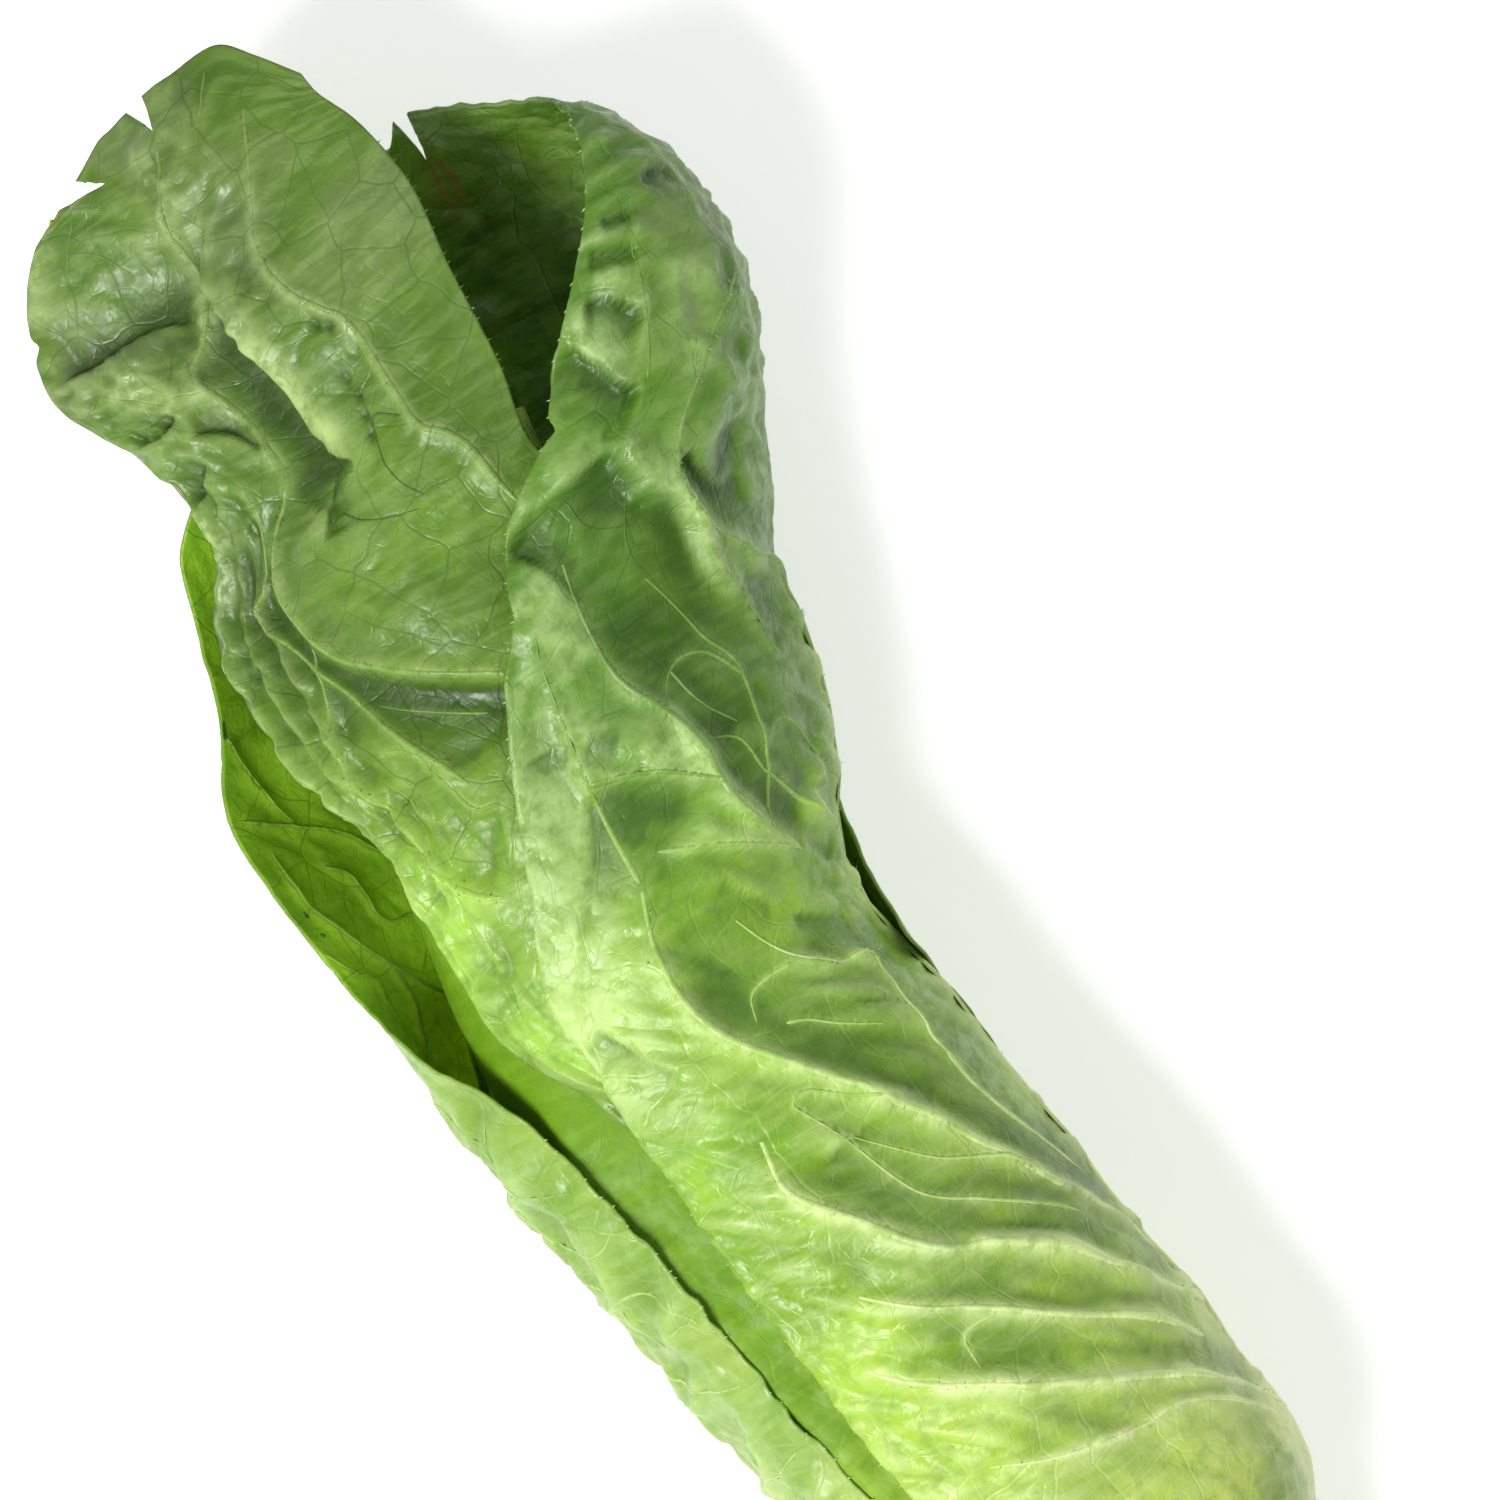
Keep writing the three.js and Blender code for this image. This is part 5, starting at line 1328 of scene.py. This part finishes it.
# %% The curled leaf's folds and blisters
CURLED_FOLDS = [  # drop, reach in mm, and the route
    (-6.0, 17, [(0.1, 0.93), (0.02, 0.9), (0.05, 0.878), (0.08, 0.85), (0.08, 0.82),
                (0.1, 0.8), (0.17, 0.782)]),
    (2.5, 7, [(0.08, 0.81), (0.03, 0.79), (-0.06, 0.773), (-0.1, 0.755)]),
    (3.4, 9, [(-0.93, 0.885), (-0.7, 0.885), (-0.5, 0.89), (-0.3, 0.893), (-0.12, 0.885)]),
    (1.8, 6, [(-0.55, 0.83), (-0.4, 0.825), (-0.3, 0.81)]),
    (1.8, 5, [(-0.9, 0.835), (-0.7, 0.835), (-0.5, 0.845)]),
    (2.0, 5, [(-0.95, 0.795), (-0.75, 0.805), (-0.6, 0.815)]),
]
for drop, reach, route in CURLED_FOLDS:
    fold(curled, route, drop, reach, edge=0.7, shade=0.8, lean=3.0 if drop < -5 else 0.8)
for u, low, high, height in ((-0.62, 0.66, 0.79, 1.6), (-0.76, 0.63, 0.8, 2.2),
                             (-0.9, 0.56, 0.82, 2.4)):
    route = [(u, low), (u + 0.03, low * 0.6 + high * 0.4), (u - 0.03, low * 0.3 + high * 0.7),
             (u, high)]
    rib(curled, route, height, 2.0, hollow=-1.2, reach=3, strip=False)
CURLED_SWELLS = [  # across, along, radius in mm and height in mm
    (-0.28, 0.75, 10, 1.6), (0.12, 0.7, 12, 2.0), (0.3, 0.76, 14, 1.4), (0.25, 0.86, 14, 2.4),
    (-0.88, 0.66, 12, 1.5), (-0.85, 0.8, 12, 1.5), (-0.72, 0.83, 10, 1.2),
    (-0.45, 0.85, 12, 2.2), (0.1, 0.95, 14, 2.0), (0.65, 0.87, 14, 1.5),
    (-0.15, 0.64, 10, 1.2), (-0.45, 0.6, 9, 1.5), (-0.5, 0.54, 4, -1.2),
    (-0.55, 0.525, 4, -1.2), (-0.12, 0.83, 9, -2.6), (-0.08, 0.79, 6, -2.4),
    (0.55, 0.7, 12, -2.2), (-0.5, 0.93, 14, 1.4), (-0.12, 0.71, 6, 1.2)]
for u, v, radius, height in CURLED_SWELLS:
    swell(curled, u, v, radius, height)
rough_part = np.maximum(smooth(curled.v, 0.8, 0.88) * smooth(0.5 - curled.u, 0, 0.3),
                        smooth(-curled.u, 0.42, 0.6))
rough_part *= 1 - 0.7 * smooth(curled.v, 0.888, 0.896) * smooth(-curled.u, 0.1, 0.2)
pillows(curled, 10, 0.5, lean=0.3, seed=8.3)
pleats = smooth(-curled.u, 0.42, 0.6) * smooth(0.82 - curled.v, 0, 0.04)
pillows(curled, 8, 1.0, lean=0.3, seed=2.3, where=rough_part * (1 - pleats))
pillows(curled, 14, 1.8, lean=0.2, stretch=0.35, seed=3.3, where=pleats)
wrinkles(curled, 6, 0.9, seed=2.9, sharp=True, where=rough_part)
wrinkles(curled, 3.5, 0.6, seed=4.9, sharp=True,
         where=smooth(curled.v, 0.78, 0.82) * smooth(0.888 - curled.v, 0, 0.01)
         * smooth(-0.35 - curled.u, 0, 0.2))
wrinkles(curled, 7, 0.4, seed=6.1)
front_edge = front.place[:, 0]
order = np.argsort(front_edge[:, 0])
edge_y = np.interp(curled.place[..., 0], front_edge[order, 0], front_edge[order, 1])
covered = smooth(edge_y - curled.place[..., 1], 0, 8) * smooth(0.78 - curled.v, 0, 0.05)
# painted shade in the hollows and painted highlights on the crests
paint_light_by_relief(curled)
limit_hollows(curled, 4.5)
curled.out = curled.out * (1 - 0.8 * covered) - 1.2 * covered
curled.brown = np.exp(-(((curled.u + 0.85) / 0.06) ** 2 + ((curled.v - 0.985) / 0.006) ** 2))
for u, v in ((0.36, 0.85), (0.4, 0.845), (0.33, 0.82), (0.32, 0.8), (0.3, 0.79), (0.34, 0.81)):
    speck = np.exp(-(((curled.u - u) / 0.02) ** 2 + ((curled.v - v) / 0.0035) ** 2))
    curled.shade = np.maximum(curled.shade, 1.0 * speck)
    curled.out -= 0.9 * speck
# painted shade on the curled leaf's band under the front leaf's margin
shaded_under_margin = smooth(-curled.u, 0.78, 0.88) * smooth(0.53 - curled.v, 0, 0.05)
curled.shade = np.maximum(curled.shade, 0.55 * shaded_under_margin)
curled.out *= 0.3 + 0.7 * smooth(1 - curled.v, 0, 0.02) * smooth(1 - np.abs(curled.u), 0, 0.05)
curled_hairs = rib_hairs(curled, 420, HAIR_SKIN["curled"], seed=3)
curled_teeth = margin_teeth(curled, 1, 0.6, 0.9, 2, HAIR_SKIN["curled"], seed=4)
make_leaf(curled, SKIN["curled"], SKIN["inner"], extras=(curled_hairs, curled_teeth),
          notches=[((-0.1, 1), (0.04, 0.98), (0.02, 1)), ((-0.7, 1), (-0.35, 0.97), (-0.9, 1))])
print("curled leaf:", len(CURLED_FOLDS), "folds and", len(CURLED_SWELLS), "swells")

# %% [markdown]
# ## The left outer leaf
#
# It hugs the head's left side and its free margin turns inwards, so both of its faces show.

# %% The left outer leaf
left_outer = Blade("left_outer_leaf", places([(-1, -0.2, 26), (-0.2, 1, 54)]),
                   places([(0, 1, 220)]))
wave = 0.012 * np.sin(left_outer.v * 60) ** 2 * smooth(left_outer.u, 0.85, 1)
reshape(left_outer, left_outer.u - wave * smooth(0.8 - left_outer.v, 0, 0.05), left_outer.v)
LEFT_RIBS = [  # width, and the route on the inner face
    (1.1, [(0.97, 0.86), (0.65, 0.825), (0.47, 0.793)]),
    (1.0, [(0.9, 0.81), (0.47, 0.793), (0.2, 0.776), (0.08, 0.757), (-0.1, 0.76)]),
    (1.3, [(0.78, 0.785), (0.8, 0.757), (0.7, 0.725), (0.55, 0.7), (0.3, 0.676), (0.08, 0.658),
           (-0.08, 0.638), (-0.2, 0.615), (-0.4, 0.595)]),
    (1.0, [(0.5, 0.765), (0.35, 0.745), (0.36, 0.726), (0.12, 0.714)]),
    (0.9, [(0.5, 0.69), (0.4, 0.665), (0.42, 0.645), (0.5, 0.63)]),
    (0.9, [(0.98, 0.72), (0.85, 0.7), (0.7, 0.69), (0.6, 0.66)]),
]
for width, route in LEFT_RIBS:
    rib(left_outer, route, -0.8, width, inside=True)
for v in np.arange(0.12, 0.62, 0.075):
    rib(left_outer, [(0.06, v), (0.3, v + 0.03), (0.6, v + 0.045 + 0.02 * math.sin(70 * v)),
                     (0.9, v + 0.1)], 0.9, 1.8, hollow=0.8, strip=False)
    rib(left_outer, [(-0.06, v), (-0.4, v + 0.04), (-0.9, v + 0.12)], 1.0, 1.6, hollow=-0.8)
rib(left_outer, [(0, 0), (0, 0.3), (0, 0.6), (0, 0.97)], 2.0, 5, fade=0.9)
veins(left_outer, 0.7, 0.6, [
    [(0.3, 0.6), (0.55, 0.6), (0.7, 0.57), (0.95, 0.6)], [(0.7, 0.57), (0.65, 0.54), (0.9, 0.52)],
    [(0.3, 0.53), (0.6, 0.49), (0.8, 0.48), (0.95, 0.49)], [(0.4, 0.47), (0.6, 0.45), (0.65, 0.41)],
    [(0.6, 0.45), (0.85, 0.44), (0.95, 0.41)], [(0.4, 0.4), (0.6, 0.38), (0.9, 0.37)],
    [(0.35, 0.33), (0.6, 0.31), (0.9, 0.32)], [(0.3, 0.25), (0.6, 0.24), (0.9, 0.26)]])
for u, v, radius in ((0.85, 0.59, 5), (0.6, 0.51, 6), (0.8, 0.45, 6), (0.7, 0.39, 7),
                     (0.3, 0.48, 6), (0.4, 0.55, 7), (0.5, 0.42, 6), (0.6, 0.33, 7)):
    swell(left_outer, u, v, radius, -2.2)
veins(left_outer, 1.0, -1, [
    [(0.85, 0.742), (0.85, 0.747)], [(0.84, 0.728), (0.86, 0.731)], [(0.97, 0.858), (0.97, 0.868)],
    [(0.99, 0.858), (0.985, 0.868)]], inside=True)
calm = 1 - 0.65 * smooth(left_outer.v, 0.55, 0.65)
pillows(left_outer, 9, 1.3, seed=4.4, where=calm)
wrinkles(left_outer, 6, 0.6, seed=9.1, where=calm)
# painted shade in the hollows and painted highlights on the crests
paint_light_by_relief(left_outer, strength=0.15)
left_outer.out -= 2.6 * smooth(left_outer.u, 0.78, 1) * smooth(0.62 - left_outer.v, 0, 0.08)
left_teeth = margin_teeth(left_outer, 1, 0.15, 0.95, 5, HAIR_SKIN["outer"], seed=6)
left_hairs = rib_hairs(left_outer, 150, HAIR_SKIN["outer"], seed=7)
make_leaf(left_outer, SKIN["outer"], SKIN["inner"], extras=(left_teeth, left_hairs))
print("left outer leaf: ribs on its inner face:", len(LEFT_RIBS))

# %% [markdown]
# ## The other leaves
#
# Most of a head is hidden: leaves wrapped round leaves, down to the rolled heart. They could be
# copies of one leaf, but each lies differently, so a loop makes every one from its own net, with
# even ribs and blisters. Two get more care. The left middle leaf swells up where it shows between
# two margins, and the right outer leaf's margin draws back except where it shows at the waist.

# %% The leaves round the rest of the head
for name, wide, long, outer, inner, seed in (
        ("right_outer_leaf", 46, 130, "outer", "outer", 11),
        ("under_leaf", 52, 140, "outer", "inner", 12),
        ("left_middle_leaf", 70, 160, "between", "between", 13),
        ("top_middle_leaf", 40, 100, "heart", "heart", 14),
        ("right_middle_leaf", 44, 100, "heart", "heart", 15),
        ("back_middle_leaf", 36, 100, "heart", "heart", 16)):
    blade = Blade(name, np.linspace(-1, 1, wide + 1), np.linspace(0, 1, long + 1))
    for v in np.arange(0.1, 0.8, 0.075):
        for side in (-1, 1):
            rib(blade, [(0.06 * side, v), (0.4 * side, v + 0.05), (0.85 * side, v + 0.13)],
                0.9, 1.6, hollow=0.6 * side, strip=name != "left_middle_leaf")
    rib(blade, [(0, 0), (0, 0.3), (0, 0.6), (0, 0.97)], 1.6, 4.5, fade=0.9)
    pillows(blade, 12, 0.6 if name == "left_middle_leaf" else 1.2, seed=seed * 1.3)
    if name == "left_middle_leaf":
        slot = np.exp(-((blade.u + 0.36 - 0.3 * (0.7 - blade.v)) / 0.09) ** 2)
        blade.out = 0.3 * blade.out + 3.4 * slot * smooth(0.74 - blade.v, 0, 0.1)
        blade.pale *= 0.3
        blade.shade *= 0.2
    if name == "right_outer_leaf":
        blade.out *= 0.3
        seen = np.exp(-((blade.v - 0.72) / 0.025) ** 2)
        short = 0.4 * smooth(-blade.u, 0.2, 1) * (1 - seen) * smooth(blade.v, 0.36, 0.46)
        reshape(blade, blade.u + short, blade.v)
    make_leaf(blade, SKIN[outer], SKIN[inner])

for number in range(HEART_LEAVES):
    blade = Blade(f"heart_leaf_{number + 1}", np.linspace(-1, 1, 41), np.linspace(0, 1, 71))
    pillows(blade, 12, 0.6, seed=number + 20.5)
    make_leaf(blade, SKIN["heart"], SKIN["heart"])
print("heart leaves:", HEART_LEAVES)

# %% [markdown]
# ## Camera, floor and light
#
# The camera looks straight down on the lying head through a long lens, so that nothing is drawn
# out of shape. The floor is a pale sheet that glows a little, which keeps it plain. A small key
# light from one side draws the ribs, and a broad weak one opens the shadows.

# %% Camera, floor and light
CAMERA_PLACE = (70.98, -30.66, 1200)  # mm
camera_data = bpy.data.cameras.new("camera")
camera_data.lens = 136.8
camera_data.sensor_width = 36
camera_data.clip_end = 10
camera = bpy.data.objects.new("camera", camera_data)
camera.location = [c * MM for c in CAMERA_PLACE]
camera.rotation_euler = (0, 0, math.radians(-120))
bpy.context.scene.collection.objects.link(camera)
bpy.context.scene.camera = camera

bm = bmesh.new()
bmesh.ops.create_grid(bm, x_segments=1, y_segments=1, size=2)
floor_mesh = bpy.data.meshes.new("floor")
bm.to_mesh(floor_mesh)
bm.free()
floor = bpy.data.objects.new("floor", floor_mesh)
floor_skin = bpy.data.materials.new("floor_white")
floor_skin.use_nodes = True
floor_skin.node_tree.nodes["Principled BSDF"].inputs["Base Color"].default_value = (0.92, 0.92, 0.92, 1)
floor_skin.node_tree.nodes["Principled BSDF"].inputs["Roughness"].default_value = 0.9
floor_skin.node_tree.nodes["Principled BSDF"].inputs["Emission Color"].default_value = (1, 1, 1, 1)
floor_skin.node_tree.nodes["Principled BSDF"].inputs["Emission Strength"].default_value = 0.4
floor_mesh.materials.append(floor_skin)
bpy.context.scene.collection.objects.link(floor)
floor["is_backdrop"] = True


def area_light(name, place, aim, size, power):
    """A square soft light at a place, turned to a point."""
    data = bpy.data.lights.new(name, "AREA")
    data.size = size
    data.energy = power
    lamp = bpy.data.objects.new(name, data)
    lamp.location = place
    lamp.rotation_euler = (Vector(aim) - Vector(place)).to_track_quat("-Z", "Y").to_euler()
    bpy.context.scene.collection.objects.link(lamp)
    return lamp


MIDDLE_OF_HEAD = (0.05, 0.0, 0.05)
area_light("key", (-0.15, 0.68, 1.15), MIDDLE_OF_HEAD, 0.5, 22.5)
area_light("fill", (0.5, -0.9, 1.1), MIDDLE_OF_HEAD, 1.2, 6)
world = bpy.data.worlds.new("studio")
world.use_nodes = True
world.node_tree.nodes["Background"].inputs["Color"].default_value = (1, 1, 1, 1)
world.node_tree.nodes["Background"].inputs["Strength"].default_value = 0.34
bpy.context.scene.world = world
bpy.context.scene.view_settings.view_transform = "Standard"
print("camera at", CAMERA_PLACE, "mm")

# %% The head's size with all its pieces
low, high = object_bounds()
print("visual size:", [round(c, 3) for c in high - low])
